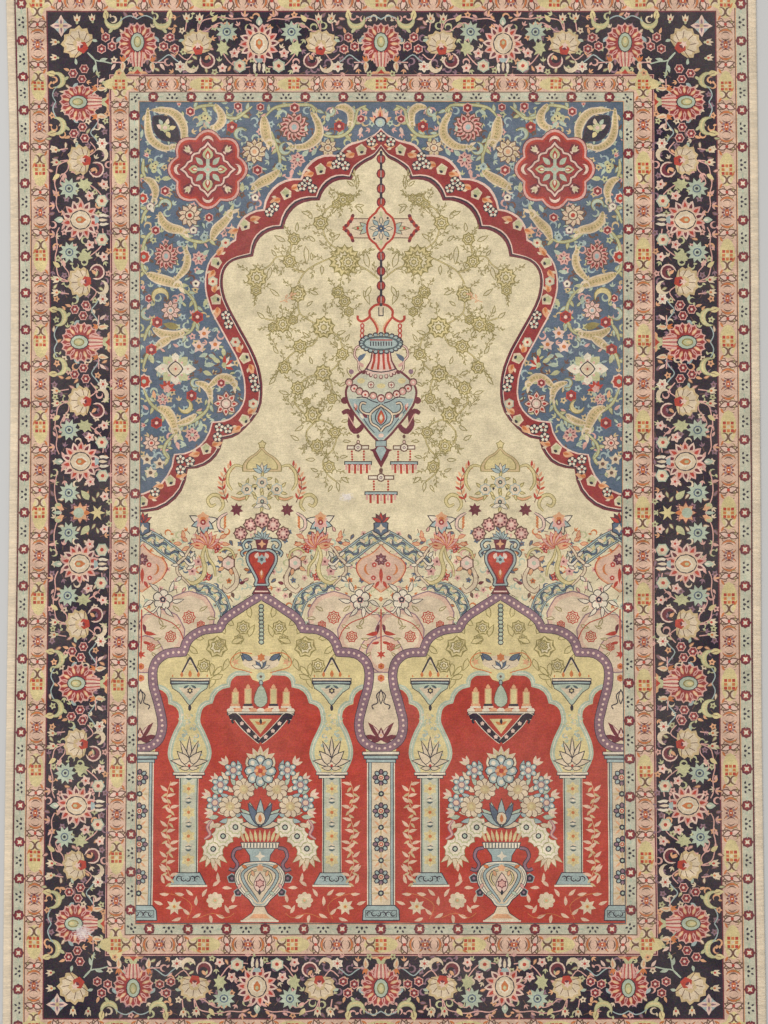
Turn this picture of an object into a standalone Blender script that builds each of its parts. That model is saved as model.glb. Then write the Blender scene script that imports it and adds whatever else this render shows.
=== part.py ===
"""A hand-knotted silk prayer rug lying flat: the knotted sheet with its plain woven ends,
and the overcast edge along each long side. Metres, +Z up, the rug's length along Y, its
underside on Z = 0 and its middle over the origin."""

import math

import bmesh
import bpy

# Driving sizes
RUG_LENGTH = 1.470
EDGE_WIDTH = 0.0125
WOVEN_END_LENGTH = 0.010
PILE_HEIGHT = 0.0030
WOVEN_END_HEIGHT = 0.0016
PILE_SLOPE = 0.0008
EDGE_HEIGHT = 0.0032
PIECE_GAP = 0.0003

# The hand-made outline: how far each long side lies from the middle of the rug
# at seven even steps from the lower end to the upper end
LEFT_SIDE = (0.5160, 0.5140, 0.5105, 0.5070, 0.5050, 0.5065, 0.5120)
RIGHT_SIDE = (0.5160, 0.5120, 0.5090, 0.5080, 0.5060, 0.5040, 0.5010)
STATION_COUNT = 43

# The overcast edge in section: a flat-bottomed band with a rounded back
EDGE_SECTION_STEPS = 8
EDGE_SHOULDER = 0.35

SILK_PILE = ("silk_pile", (0.46, 0.36, 0.28, 1.0), 0.55)
EDGE_SILK = ("edge_silk", (0.76, 0.70, 0.56, 1.0), 0.6)


def clear_scene():
    for item in list(bpy.data.objects):
        bpy.data.objects.remove(item, do_unlink=True)


def material(name, colour, roughness):
    made = bpy.data.materials.new(name)
    made.use_nodes = True
    shader = made.node_tree.nodes["Principled BSDF"]
    shader.inputs["Base Color"].default_value = colour
    shader.inputs["Roughness"].default_value = roughness
    shader.inputs["Metallic"].default_value = 0.0
    return made


def side_distance(side, along):
    """How far a long side lies from the middle at a place along the rug, on a smooth curve."""
    last = len(side) - 1
    place = (along / RUG_LENGTH + 0.5) * last
    step = min(max(int(math.floor(place)), 0), last - 1)
    t = place - step
    before, start = side[max(step - 1, 0)], side[step]
    end, after = side[step + 1], side[min(step + 2, last)]
    bend = 2 * before - 5 * start + 4 * end - after
    turn = 3 * start - before - 3 * end + after
    return 0.5 * (2 * start + (end - before) * t + bend * t**2 + turn * t**3)


def even_steps(start, end, count):
    return [start + (end - start) * i / (count - 1) for i in range(count)]


def loft(name, sections, finish):
    """A closed body through equal sections, each a ring of points from left to right."""
    shape = bmesh.new()
    rings = [[shape.verts.new(point) for point in ring] for ring in sections]
    sides = len(rings[0])
    for low, high in zip(rings, rings[1:]):
        for i in range(sides):
            j = (i + 1) % sides
            shape.faces.new((low[i], low[j], high[j], high[i]))
    shape.faces.new(list(reversed(rings[0])))
    shape.faces.new(rings[-1])
    bmesh.ops.recalc_face_normals(shape, faces=shape.faces)
    mesh = bpy.data.meshes.new(name)
    shape.to_mesh(mesh)
    shape.free()
    mesh.materials.append(material(*finish))
    body = bpy.data.objects.new(name, mesh)
    bpy.context.scene.collection.objects.link(body)
    return body


def knotted_sheet():
    """The pile, thinner over its plain woven ends."""
    end = RUG_LENGTH / 2
    pile_end = end - WOVEN_END_LENGTH
    woven = [(-end, WOVEN_END_HEIGHT), (-pile_end - PILE_SLOPE, WOVEN_END_HEIGHT)]
    pile = [(along, PILE_HEIGHT) for along in even_steps(-pile_end, pile_end, STATION_COUNT)]
    stations = woven + pile + [(-along, height) for along, height in reversed(woven)]
    sections = []
    for along, height in stations:
        left = EDGE_WIDTH - side_distance(LEFT_SIDE, along)
        right = side_distance(RIGHT_SIDE, along) - EDGE_WIDTH
        sections.append(
            [(left, along, 0), (right, along, 0), (right, along, height), (left, along, height)]
        )
    return loft("knotted_sheet", sections, SILK_PILE)


def edge_section():
    """The overcast edge's section: (share of its width from inside, height) pairs."""
    back = []
    for i in range(EDGE_SECTION_STEPS + 1):
        turn = math.pi * i / EDGE_SECTION_STEPS
        across = 0.5 * (1 - math.cos(turn))
        rise = EDGE_SHOULDER + (1 - EDGE_SHOULDER) * math.sin(turn)
        back.append((across, EDGE_HEIGHT * rise))
    return [(0, 0)] + back + [(1, 0)]


def overcast_edge(name, side, way):
    """The band of wrapped silk along one long side; way is -1 for left, +1 for right."""
    end = RUG_LENGTH / 2
    sections = []
    for along in even_steps(-end, end, STATION_COUNT):
        outer = side_distance(side, along)
        inner = outer - EDGE_WIDTH + PIECE_GAP
        ring = [(inner + (outer - inner) * across, height) for across, height in edge_section()]
        sections.append([(way * x, along, z) for x, z in ring])
    return loft(name, sections, EDGE_SILK)


def main():
    clear_scene()
    knotted_sheet()
    overcast_edge("overcast_edge_left", LEFT_SIDE, -1)
    overcast_edge("overcast_edge_right", RIGHT_SIDE, 1)


main()
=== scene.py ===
"""The looks of a silk prayer rug: its knotted pattern, woven ends and overcast edges."""

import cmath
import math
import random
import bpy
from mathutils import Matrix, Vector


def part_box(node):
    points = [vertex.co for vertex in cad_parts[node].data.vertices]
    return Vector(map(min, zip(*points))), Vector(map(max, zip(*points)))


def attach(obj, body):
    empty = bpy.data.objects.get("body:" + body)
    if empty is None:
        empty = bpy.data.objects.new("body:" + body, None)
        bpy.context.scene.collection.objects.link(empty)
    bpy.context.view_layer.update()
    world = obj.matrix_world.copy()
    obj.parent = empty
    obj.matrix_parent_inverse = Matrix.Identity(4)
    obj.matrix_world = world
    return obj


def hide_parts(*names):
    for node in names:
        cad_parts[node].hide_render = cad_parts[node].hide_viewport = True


bl_info = {
    "name": "Silk Prayer Rug",
    "version": (1, 0, 0),
    "blender": (4, 5, 0),
    "location": "3D View > Sidebar > Rug",
    "description": "Knots a silk prayer rug with borders, a scalloped niche and overcast edges",
    "category": "Add Mesh",
}

from collections import namedtuple

import bpy
import numpy as np
from bpy.props import FloatProperty, FloatVectorProperty, PointerProperty
from bpy.types import Operator, Panel, PropertyGroup
from mathutils import Vector, noise
from mathutils.geometry import delaunay_2d_cdt

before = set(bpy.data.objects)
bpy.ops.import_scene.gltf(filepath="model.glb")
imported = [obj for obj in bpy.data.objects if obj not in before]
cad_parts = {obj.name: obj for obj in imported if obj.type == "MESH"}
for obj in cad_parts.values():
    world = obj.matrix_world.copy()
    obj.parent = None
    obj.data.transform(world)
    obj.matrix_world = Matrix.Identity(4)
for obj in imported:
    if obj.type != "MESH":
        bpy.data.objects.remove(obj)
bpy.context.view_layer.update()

# The pattern is drawn in millimetres from the rug's middle, with up towards the top of the niche
MM = 0.001
RUG_HALF_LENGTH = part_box("knotted_sheet")[1][1] / MM
PILE_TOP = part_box("knotted_sheet")[1][2]

# Half sizes of the field, then each band from the field outwards
FIELD_HALF = (323.2, 553.0)
FIELD_LINE = 1.4
INNER_CELADON = 13.4
INNER_PEACH = 24.0
MAIN_BORDER = 85.0
OUTER_PEACH = 24.5
OUTER_CELADON = 15.3
THIN_LINE = 1.4
WIDE_LINE = 1.8
EDGE_WIDTH = 12.5
SIDE_NOMINAL = 507.3

# The hand-made outline, at seven even steps from the lower end to the upper end: how far the
# outer edge and the field's edge lie from the pattern's middle line, left and right
MIDDLE_LINE = -5.0
LEFT_OUTER = (511.0, 509.0, 505.5, 502.0, 500.0, 501.5, 507.0)
RIGHT_OUTER = (521.0, 517.0, 514.0, 513.0, 511.0, 509.0, 506.0)
LEFT_FIELD = (331.0, 329.5, 327.0, 324.0, 324.0, 324.5, 325.0)
RIGHT_FIELD = (330.0, 328.5, 326.0, 324.0, 325.4, 325.4, 325.0)
UPPER_BORDER_SHIFT = -5.0
LOWER_BORDER_SHIFT = -1.5

# How finely the drawing is cut up, and how far the weaver's hand strays from it
LONGEST_EDGE = 24.0
HAND_WOBBLE = 0.55
WOBBLE_SIZE = 17.0
SMALLEST_STEP = 0.05
JOINED_WITHIN = 0.002
TONE_SEED = 11
WOBBLE_SEED = 11
BACK_TONE = 0.92
BACK_SMALLEST_AREA = 34.0

# Overcast edges and woven ends
EDGE_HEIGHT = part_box("overcast_edge_left")[1][2]
GUIDE_POINTS = 50
END_STATIONS = 60
WOVEN_HEIGHT = 1.6
RIDGE_HEIGHT = 0.22
RIDGE_STEPS = 4

# Floor, light and camera, in metres
FLOOR_HALF = 6.0
FLOOR_GAP = 0.0004
LIGHT_SIZE = 3.0
LIGHT_PLACE = (-1.4, 1.2, 3.2)
CAMERA_LENS = 60.0
VIEW_MIDDLE = (-0.001, 0.001)

# Dyed silk, as seen in daylight
YARN = {
    "navy": "#1e0f24",
    "dusk": "#40303c",
    "ivory": "#e4d4b9",
    "cream": "#dcc5a4",
    "straw": "#cdb182",
    "olive": "#8f8049",
    "celadon": "#b2bba2",
    "leaf": "#bdb98a",
    "peach": "#dfba9c",
    "apricot": "#dda377",
    "orange": "#c9743f",
    "rose": "#d8a394",
    "blush": "#e3c0ac",
    "brick": "#b43a2a",
    "red": "#98302f",
    "maroon": "#6d2732",
    "mauve": "#8d6a74",
    "steel": "#556475",
    "sky": "#a2b0a9",
    "teal": "#4a5a5c",
    "ink": "#2f2a36",
    "umber": "#6c4a3c",
    "field": "#dccba5",
    "lemon": "#d6c28a",
    "guard": "#d9b298",
    "guard_green": "#c4bfa5",
    "edge": "#f9e7cb",
}


def linear(code):
    """A written colour as the light it sends back."""
    parts = [int(code[i : i + 2], 16) / 255 for i in (1, 3, 5)]
    return [p / 12.92 if p <= 0.04045 else ((p + 0.055) / 1.055) ** 2.4 for p in parts]


def smoothstep(value):
    t = min(max(value, 0.0), 1.0)
    return t * t * (3 - 2 * t)


def on_curve(row, along):
    """A value of a seven-step row at a place along the rug, on a smooth curve."""
    last = len(row) - 1
    place = (along / (2 * RUG_HALF_LENGTH) + 0.5) * last
    step = min(max(int(math.floor(place)), 0), last - 1)
    t = place - step
    before, start = row[max(step - 1, 0)], row[step]
    end, after = row[step + 1], row[min(step + 2, last)]
    bend = 2 * before - 5 * start + 4 * end - after
    turn = 3 * start - before - 3 * end + after
    return 0.5 * (2 * start + (end - before) * t + bend * t**2 + turn * t**3)


def laid(x, y):
    """Where a point of the drawn pattern lies on the real, slightly uneven rug."""
    rise = (y - FIELD_HALF[1]) / 45
    fall = (y - FIELD_HALF[1] - 125) / 48
    drop = (-y - FIELD_HALF[1]) / 45
    lift = (-y - FIELD_HALF[1] - 125) / 48
    y_laid = y + UPPER_BORDER_SHIFT * (smoothstep(rise) - smoothstep(fall))
    y_laid += LOWER_BORDER_SHIFT * (smoothstep(drop) - smoothstep(lift))
    outer = on_curve(LEFT_OUTER if x < 0 else RIGHT_OUTER, y_laid)
    field = on_curve(LEFT_FIELD if x < 0 else RIGHT_FIELD, y_laid)
    share = (abs(x) - FIELD_HALF[0]) / (SIDE_NOMINAL - FIELD_HALF[0])
    reach = abs(x) * field / FIELD_HALF[0] if share < 0 else field + (outer - field) * share
    return MIDDLE_LINE + math.copysign(reach, x), y_laid


class Pen:
    """Draws shapes in its own place, turn, size and mirroring, onto a shared list."""

    def __init__(self, shapes, origin=0j, spin=1 + 0j, flip=False):
        self.shapes = shapes
        self.origin = origin
        self.spin = spin
        self.flip = flip

    def put(self, point):
        return self.origin + self.spin * (point.conjugate() if self.flip else point)

    def at(self, x, y, turn=0.0, size=1.0, flip=False):
        spin = size * cmath.exp(1j * math.radians(turn)) * (-1 if flip else 1)
        if self.flip:
            spin = spin.conjugate()
        return Pen(self.shapes, self.put(complex(x, y)), self.spin * spin, self.flip != flip)

    def halves(self):
        """The pen itself and its mirror image."""
        return self.at(0, 0), self.at(0, 0, flip=True)

    def fill(self, points, yarn):
        self.shapes.append(([self.put(complex(*p) if isinstance(p, tuple) else p) for p in points], yarn))

    def edged(self, points, yarn, edge, by=1.2):
        self.fill(swell(points, by), edge)
        self.fill(points, yarn)

    def leaf(self, length, width, yarn, bend=0.0, steps=4):
        self.fill(leaf(length, width, bend, steps), yarn)

    def oval(self, width, height, yarn, steps=12, x=0.0, y=0.0):
        self.fill(oval(width, height, x, y, steps), yarn)

    def dot(self, width, yarn, steps=12, x=0.0, y=0.0):
        self.fill(oval(width, width, x, y, steps), yarn)

    def line(self, points, width, yarn, taper=0.0):
        self.fill(ribbon(points, width, taper), yarn)


def as_complex(points):
    return [complex(*p) if isinstance(p, tuple) else p for p in points]


def swell(points, by):
    """A closed outline moved outwards by an even distance, with its corners kept."""
    points = as_complex(points)
    count = len(points)
    area = sum((points[i - 1].conjugate() * points[i]).imag for i in range(count))
    side = -1j if area > 0 else 1j
    moved = []
    for i, point in enumerate(points):
        into = point - points[i - 1]
        out = points[(i + 1) % count] - point
        into = into / abs(into) if abs(into) > 1e-9 else 1
        out = out / abs(out) if abs(out) > 1e-9 else into
        middle = into + out
        if abs(middle) < 0.3:
            moved.append(point + by * side * into)
            continue
        middle = middle / abs(middle)
        lean = max((into.conjugate() * middle).real, 0.5)
        moved.append(point + by * side * middle / lean)
    return moved


def ribbon(points, width, taper=0.0):
    """An outline along a path; a taper of 1 brings both ends to a point, -1 the far one only."""
    points = as_complex(points)
    last = len(points) - 1
    left, right = [], []
    for i, point in enumerate(points):
        way = points[min(i + 1, last)] - points[max(i - 1, 0)]
        way = way / abs(way) if abs(way) > 1e-9 else 1
        share = i / last
        thin = 1.0
        if taper > 0:
            thin = 1 - taper + taper * math.sin(math.pi * share) ** 0.7
        elif taper < 0:
            thin = 1 + taper * share
        step = 1j * way * max(width * thin, 0.15) / 2
        left.append(point + step)
        right.append(point - step)
    return left + right[::-1]


def curve(points, steps=4, closed=False):
    """A smooth path through given points."""
    points = as_complex(points)
    count = len(points)
    made = []
    for i in range(count if closed else count - 1):
        if closed:
            before, start = points[i - 1], points[i]
            end, after = points[(i + 1) % count], points[(i + 2) % count]
        else:
            before, start = points[max(i - 1, 0)], points[i]
            end, after = points[i + 1], points[min(i + 2, count - 1)]
        for k in range(steps):
            t = k / steps
            bend = 2 * before - 5 * start + 4 * end - after
            turn = 3 * start - before - 3 * end + after
            made.append(0.5 * (2 * start + (end - before) * t + bend * t**2 + turn * t**3))
    return made if closed else made + [points[-1]]


def scallops(corners, rise, steps=5):
    """Arcs from corner to corner, each bulging to the left of its way by a share of its span."""
    corners = as_complex(corners)
    made = []
    for start, end in zip(corners, corners[1:]):
        span = end - start
        for k in range(steps):
            t = k / steps
            made.append(start + span * t + 1j * span * rise * math.sin(math.pi * t) ** 0.8)
    return made + [corners[-1]]


def oval(width, height, x=0.0, y=0.0, steps=12):
    turns = [2 * math.pi * k / steps for k in range(steps)]
    return [complex(x + width / 2 * math.cos(a), y + height / 2 * math.sin(a)) for a in turns]


def lobed(radius, lobes, depth=0.16, steps=3, turn=90.0, high=1.0):
    """A round outline with scalloped petals."""
    made = []
    for k in range(lobes * steps):
        angle = 2 * math.pi * k / (lobes * steps)
        swing = abs(math.cos(lobes * angle / 2)) if steps > 1 else 1
        reach = radius * (1 - depth * (1 - swing) * 1.6)
        z = reach * cmath.exp(1j * (angle + math.radians(turn)))
        made.append(complex(z.real, z.imag * high))
    return made


def star(outer, inner, points, turn=90.0, high=1.0):
    made = []
    for k in range(2 * points):
        reach = outer if k % 2 == 0 else inner
        z = reach * cmath.exp(1j * (math.pi * k / points + math.radians(turn)))
        made.append(complex(z.real, z.imag * high))
    return made


def leaf(length, width, bend=0.0, steps=5):
    """A pointed leaf from the origin upwards, its tip bent sideways."""
    left, right = [], []
    for k in range(1, steps):
        t = k / steps
        axis = complex(bend * t * t, length * t)
        half = width / 2 * math.sin(math.pi * t**0.8)
        left.append(axis - half)
        right.append(axis + half)
    return [0j] + right + [complex(bend, length)] + left[::-1]


def crescent(radius, thick, start=160.0, end=380.0, steps=9):
    """A sickle open upwards, thickest in its middle."""
    outer, inner = [], []
    for k in range(steps + 1):
        t = k / steps
        way = cmath.exp(1j * math.radians(start + (end - start) * t))
        outer.append(radius * way)
        inner.append((radius - max(thick * math.sin(math.pi * t) ** 0.8, 0.2)) * way)
    return outer + inner[::-1]


def box(width, height, x=0.0, y=0.0):
    half_w, half_h = width / 2, height / 2
    return [complex(x - half_w, y - half_h), complex(x + half_w, y - half_h),
        complex(x + half_w, y + half_h), complex(x - half_w, y + half_h)]


# Small flowers and leaves


def rosette(pen, radius, petals, petal, edge, heart, dots=None):
    """A round blossom: edged scalloped petals, a ring of dots and a heart."""
    pen.fill(lobed(radius, petals, 0.2), edge)
    pen.fill(lobed(radius * 0.78, petals, 0.16), petal)
    if dots:
        for k in range(petals):
            way = radius * 0.52 * cmath.exp(2j * math.pi * (k + 0.5) / petals + 1j * math.pi / 2)
            pen.at(way.real, way.imag).dot(radius * 0.3, dots, 5)
    pen.dot(radius * 0.55, heart, 8)


def petal_flower(pen, radius, petals, petal, heart, shade=None):
    """Separate rounded petals round a heart."""
    for k in range(petals):
        turned = pen.at(0, 0, 360 * k / petals)
        turned.leaf(radius, radius * 0.75, petal)
        if shade:
            turned.at(0, radius * 0.2).leaf(radius * 0.5, radius * 0.22, shade, steps=3)
    pen.dot(radius * 0.5, heart, 7)


def star_flower(pen, radius, points, petal, ring, heart):
    pen.fill(star(radius, radius * 0.62, points), petal)
    pen.dot(radius * 0.78, ring, 9)
    pen.dot(radius * 0.56, petal, 8)
    pen.dot(radius * 0.3, heart, 6)


def bud(pen, size, petal, heart, calyx="leaf"):
    """A small half-open flower on a short calyx."""
    pen.fill([(-size * 0.5, size * 0.75), (-size * 0.2, size * 0.5), (0, size), (size * 0.2, size * 0.5),
        (size * 0.5, size * 0.75), (size * 0.38, 0), (0, -size * 0.3), (-size * 0.38, 0)], petal)
    pen.at(0, size * 0.1).oval(size * 0.34, size * 0.42, heart, 6)
    pen.at(0, -size * 0.55).leaf(size * 0.5, size * 0.4, calyx, steps=3)


def sprig(pen, length, yarn, tip):
    """Three small leaves fanned from one point."""
    for turn, share in ((-42, 0.8), (0, 1.0), (42, 0.8)):
        pen.at(0, 0, turn).leaf(length * share, length * 0.3, yarn if turn else tip, steps=3)


def inside(outline, place):
    """Whether a place lies inside a closed outline."""
    crossed = False
    for i, end in enumerate(outline):
        start = outline[i - 1]
        if (start.imag > place.imag) != (end.imag > place.imag):
            along = (place.imag - start.imag) / (end.imag - start.imag)
            crossed ^= start.real + along * (end.real - start.real) > place.real
    return crossed


def strewn(pen, area, outline, pitch, size, yarns, edge, seed):
    """Small leaves, hooks and buds over a ground, evenly strewn between the larger motifs."""
    left, right, low, high = area
    draw = random.Random(seed)
    for row in range(int((high - low) / pitch) + 1):
        for column in range(int((right - left) / pitch) + 1):
            x = left + pitch * (column + 0.5 * (row % 2)) + draw.uniform(-0.25, 0.25) * pitch
            y = low + pitch * row + draw.uniform(-0.25, 0.25) * pitch
            turn, kind, yarn = draw.uniform(0, 360), draw.randrange(4), draw.choice(yarns)
            if outline and inside(outline, complex(x, y)):
                continue
            small = pen.at(x, y, turn)
            if kind == 0:
                small.leaf(size * 1.25, size * 0.7, edge, 2)
                small.at(0, size * 0.1).leaf(size, size * 0.4, yarn, 2, 3)
            elif kind == 1:
                small.fill(crescent(size * 0.62, size * 0.34, 20, 290, 7), yarn)
                small.at(size * 0.5, 0, -30).leaf(size * 0.7, size * 0.4, yarn, 1, 3)
            elif kind == 2:
                small.fill(star(size * 0.62, size * 0.36, 5), yarn)
                small.dot(size * 0.4, edge, 5)
            else:
                small.line([(0, -size * 0.7), (0.6, 0), (0, size * 0.5)], 1.0, edge)
                sprig(small.at(0, size * 0.1), size * 0.9, yarn, yarn)


# Main border


def long_palmette(pen):
    """The oval palmette: a ring of toothed petals round a pale seed, with a striped throat."""
    pen.fill(lobed(27.5, 18, 0.13, 3, high=1.04), "rose")
    pen.fill(lobed(25.2, 18, 0.10, 2, high=1.04), "red")
    for k in range(18):
        angle = 360 * (k + 0.5) / 18
        spoke = pen.at(0, 0, angle)
        spoke.at(0, 12.5).leaf(12.5, 4.4, "apricot" if k % 2 else "rose")
        spoke.at(0, 15).leaf(7.5, 1.7, "cream" if k % 2 else "red", steps=3)
    pen.fill([(-10, -12), (10, -12), (7, -31), (-7, -31)], "rose")
    for k in range(-2, 3):
        pen.line([(2.9 * k, -9), (2.5 * k, -22), (1.9 * k, -31)], 1.3, ("red", "cream", "brick")[abs(k)])
    pen.oval(20, 27, "ink", y=2)
    pen.oval(17.4, 24.2, "celadon", y=2)
    pen.oval(10.5, 15.5, "olive", y=2.5)
    pen.oval(7.6, 12, "leaf", y=2.8)
    pen.leaf(9, 4.5, "lemon")
    pen.fill([(-4, -31), (4, -31), (6, -36), (11, -40.5), (-11, -40.5), (-6, -36)], "leaf")
    pen.fill([(-14, -40.8), (14, -40.8), (11, -37.6), (-11, -37.6)], "apricot")
    pen.fill([(-5, -40.5), (0, -34.5), (5, -40.5)], "brick")


def flame_palmette(pen):
    """The round palmette: pointed flame petals round an edged shield, with spear tips."""
    for k in range(14):
        petal = pen.at(0, 0, 360 * (k + 0.5) / 14)
        petal.at(0, 12).leaf(15.5, 9.6, "blush" if k % 2 else "rose", 1.5, 5)
        petal.at(0, 14).leaf(10, 4.6, "maroon" if k % 2 else "brick", 1.0)
    pen.fill(lobed(17.5, 12, 0.12, 3), "peach")
    pen.oval(26.5, 29.5, "ink", 14)
    pen.fill([(0, 14.2), (7.5, 10.5), (12, 2), (10.5, -7), (4.5, -12.5), (0, -14.2), (-4.5, -12.5),
        (-10.5, -7), (-12, 2), (-7.5, 10.5)], "cream")
    pen.oval(15, 18, "ivory", 10, y=-0.5)
    pen.fill([(0, -8.5), (4.6, -2), (4.2, 4.2), (0, 7.2), (-4.2, 4.2), (-4.6, -2)], "orange")
    pen.oval(4.6, 6, "leaf", 7, y=1.5)
    pen.at(0, 24).leaf(13, 8.5, "celadon", steps=5)
    pen.at(0, 24).leaf(8, 3.4, "ivory")
    for way in (-1, 1):
        pen.at(7 * way, -26, -18 * way).leaf(-14, 5.5, "ivory", 3 * way, 5)
        pen.at(5 * way, 22, -60 * way).leaf(10, 4, "rose")
    pen.oval(9.5, 15, "dusk", 10, y=-32)
    pen.at(0, -24.5).leaf(-13.5, 4.2, "cream")
    pen.fill([(-6, -20), (6, -20), (3, -25.5), (-3, -25.5)], "sky")


def fan_flower(pen):
    """A seven-lobed fan opening upwards from a spotted base."""
    rim = [(-8, -11), (-15, -9.5), (-20, -4), (-17.5, 0), (-21, 6), (-16, 9.5), (-16.5, 15.5),
        (-9.5, 16.5), (-5.5, 20.5), (0, 17.5), (5.5, 20.5), (9.5, 16.5), (16.5, 15.5), (16, 9.5),
        (21, 6), (17.5, 0), (20, -4), (15, -9.5), (8, -11)]
    pen.fill(rim, "straw")
    pen.fill([complex(*p) * 0.8 + 0.6j for p in rim], "cream")
    for turn in (-100, -68, -34, 0, 34, 68, 100):
        pen.at(0, -5, turn).line([(0, 5), (0, 20 - abs(turn) * 0.03)], 0.9, "umber")
    pen.fill(lobed(8.2, 5, 0.2, 3, turn=-90), "straw")
    pen.at(0, -6.5).fill(lobed(7.6, 5, 0.2, 3), "brick")
    pen.at(0, -4.5).oval(6.4, 4.4, "maroon", 8)
    pen.at(0, -0.5).fill(star(5.4, 2.4, 5), "blush")


def sickle_leaf(pen):
    """The thick curled leaf beside the long palmette, open upwards."""
    pen.fill(crescent(12.6, 8.4, 150, 395, 11), "olive")
    pen.fill(crescent(12, 7.2, 152, 392, 11), "leaf")
    pen.fill(crescent(10.4, 3.0, 190, 350, 7), "lemon")
    pen.at(8.5, 1.5, -22).leaf(14, 8.5, "lemon", -3, 5)
    pen.at(8, 0.5, -12).line([(0, 1), (0.5, 10)], 0.8, "umber")


def berry_cluster(pen):
    """Three dotted rosettes, their stems meeting in a pair of small leaves."""
    for x, y in ((0.5, 9.5), (-8, -2.5), (6.5, -6)):
        rosette(pen.at(x, y), 6.9, 6, "maroon", "rose", "blush", "brick")
    pen.at(-4, 15, 30).leaf(10, 4.4, "leaf", -2)
    pen.at(4, 14, -18).leaf(9.5, 4, "apricot")
    pen.at(12, 4, -64).leaf(9, 4.4, "celadon", 2)
    pen.at(-14, 3, 38).leaf(10, 5, "sky")


def leaf_spray(pen):
    """Orange flames over a pair of hanging pale leaves."""
    pen.line([(0, 0), (-9, 7)], 1.6, "celadon")
    pen.line([(0, 0), (16, -0.5)], 1.5, "rose")
    for turn in (-28, 2, 34):
        pen.fill([z * cmath.exp(1j * math.radians(turn)) for z in leaf(9.5, 3.2, steps=4)], "orange")
    pen.at(0, 1, 172).leaf(15, 7.2, "cream", -3, 5)
    pen.at(0.5, -1, 172).leaf(10, 3.4, "apricot", -2)
    pen.at(10, -2, -138).leaf(11, 4.2, "blush", 1)


def border_unit(pen, span=162.0):
    """Half a repeat of the main border, from a long palmette to the next flame palmette."""
    k = span / 162.0
    stems = (
        ((0, 33), (9, 37.5), (18, 35), (24, 30)), ((24, -27), (32, -22), (42, -15), (50, -21),
        (58, -27)), ((55, -14), (66, -22), (74, -13), (80, -4)),
        ((80, 15), (86, 30), (98, 34), (112, 36), (126, 33), (142, 34), (152, 30)),
        ((81, 17), (92, 17), (101, 24), (112, 28), (118, 20)),
        ((108, -2), (116, -16), (126, -28), (138, -32), (150, -31)), ((64, 17), (66, 30), (70, 34)),
        ((80, 18), (81, 28)),
    )
    for stem in stems:
        pen.line(curve([(x * k, y) for x, y in stem], 3), 1.5, "rose" if stem[0][0] > 50 else "sky")
    sickle_leaf(pen.at(33 * k, 31))
    berry_cluster(pen.at(43 * k, -1))
    leaf_spray(pen.at(20 * k, -25))
    fan_flower(pen.at(80 * k, -2, 6))
    bud(pen.at(66 * k, 33, 8), 9.5, "cream", "orange")
    bud(pen.at(83 * k, 32), 10, "cream", "brick")
    pen.at(100 * k, 29, -20).leaf(12, 6.5, "lemon", 3, 5)
    pen.at(100 * k, 22, -70).leaf(9, 4, "rose")
    pen.at(93 * k, -23, 25).fill(crescent(10.8, 6.4, 120, 420, 11), "blush")
    pen.at(93 * k, -23, 25).fill(crescent(8.8, 5.5, 130, 410, 9), "maroon")
    pen.at(90 * k, -22, -40).leaf(9, 4.6, "apricot")
    pen.at(72 * k, -30, -30).fill(crescent(9.6, 6.2, 150, 400, 9), "cream")
    petal_flower(pen.at(57 * k, -31), 8.2, 6, "ivory", "brick", "rose")
    star_flower(pen.at(119 * k, 16), 15, 10, "celadon", "steel", "ink")
    pen.at(112 * k, -3, 10).fill([(0, 8), (4, 3), (7, 5), (6.5, -1), (10, -4), (5, -8), (7, -14),
        (1, -10), (-3, -14), (-4, -7), (-8, -6), (-4, -1), (-6, 4), (-2, 3)], "leaf")
    petal_flower(pen.at(129 * k, -13), 7.4, 5, "blush", "brick", "rose")
    rosette(pen.at(136 * k, -30), 9.4, 6, "cream", "celadon", "brick")
    petal_flower(pen.at(113 * k, -33), 7, 5, "blush", "brick")
    sprig(pen.at(142 * k, 36, -10), 10, "rose", "apricot")
    pen.at(128 * k, 35, 60).leaf(8, 3.6, "rose")


def border_corner(pen):
    """The fan flower on the diagonal, a square leaf rosette outside it and a forked stem inside."""
    fan_flower(pen.at(0, 0, 45, size=1.1))
    corner = pen.at(-24, 24, 45)
    corner.fill([(-9, -9), (9, -9), (9, 9), (-9, 9)], "sky")
    for turn in (0, 90, 180, 270):
        corner.at(0, 0, turn + 45).leaf(15, 7.5, "blush", steps=5)
        corner.at(0, 0, turn + 45).leaf(10, 3, "mauve")
    corner.dot(6, "straw", 8)
    for flip in (False, True):
        side = pen.at(0, 0, 90 if flip else 0, flip=flip)
        bud(side.at(-2, 31), 9.5, "cream", "orange")
        bud(side.at(19, 32, 8), 9, "cream", "brick")
        side.line(curve([(12, -12), (22, -22), (34, -24), (46, -27)], 3), 1.8, "celadon")
        side.at(28, -23, -75).leaf(12, 5, "celadon")


# Guard borders


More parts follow.
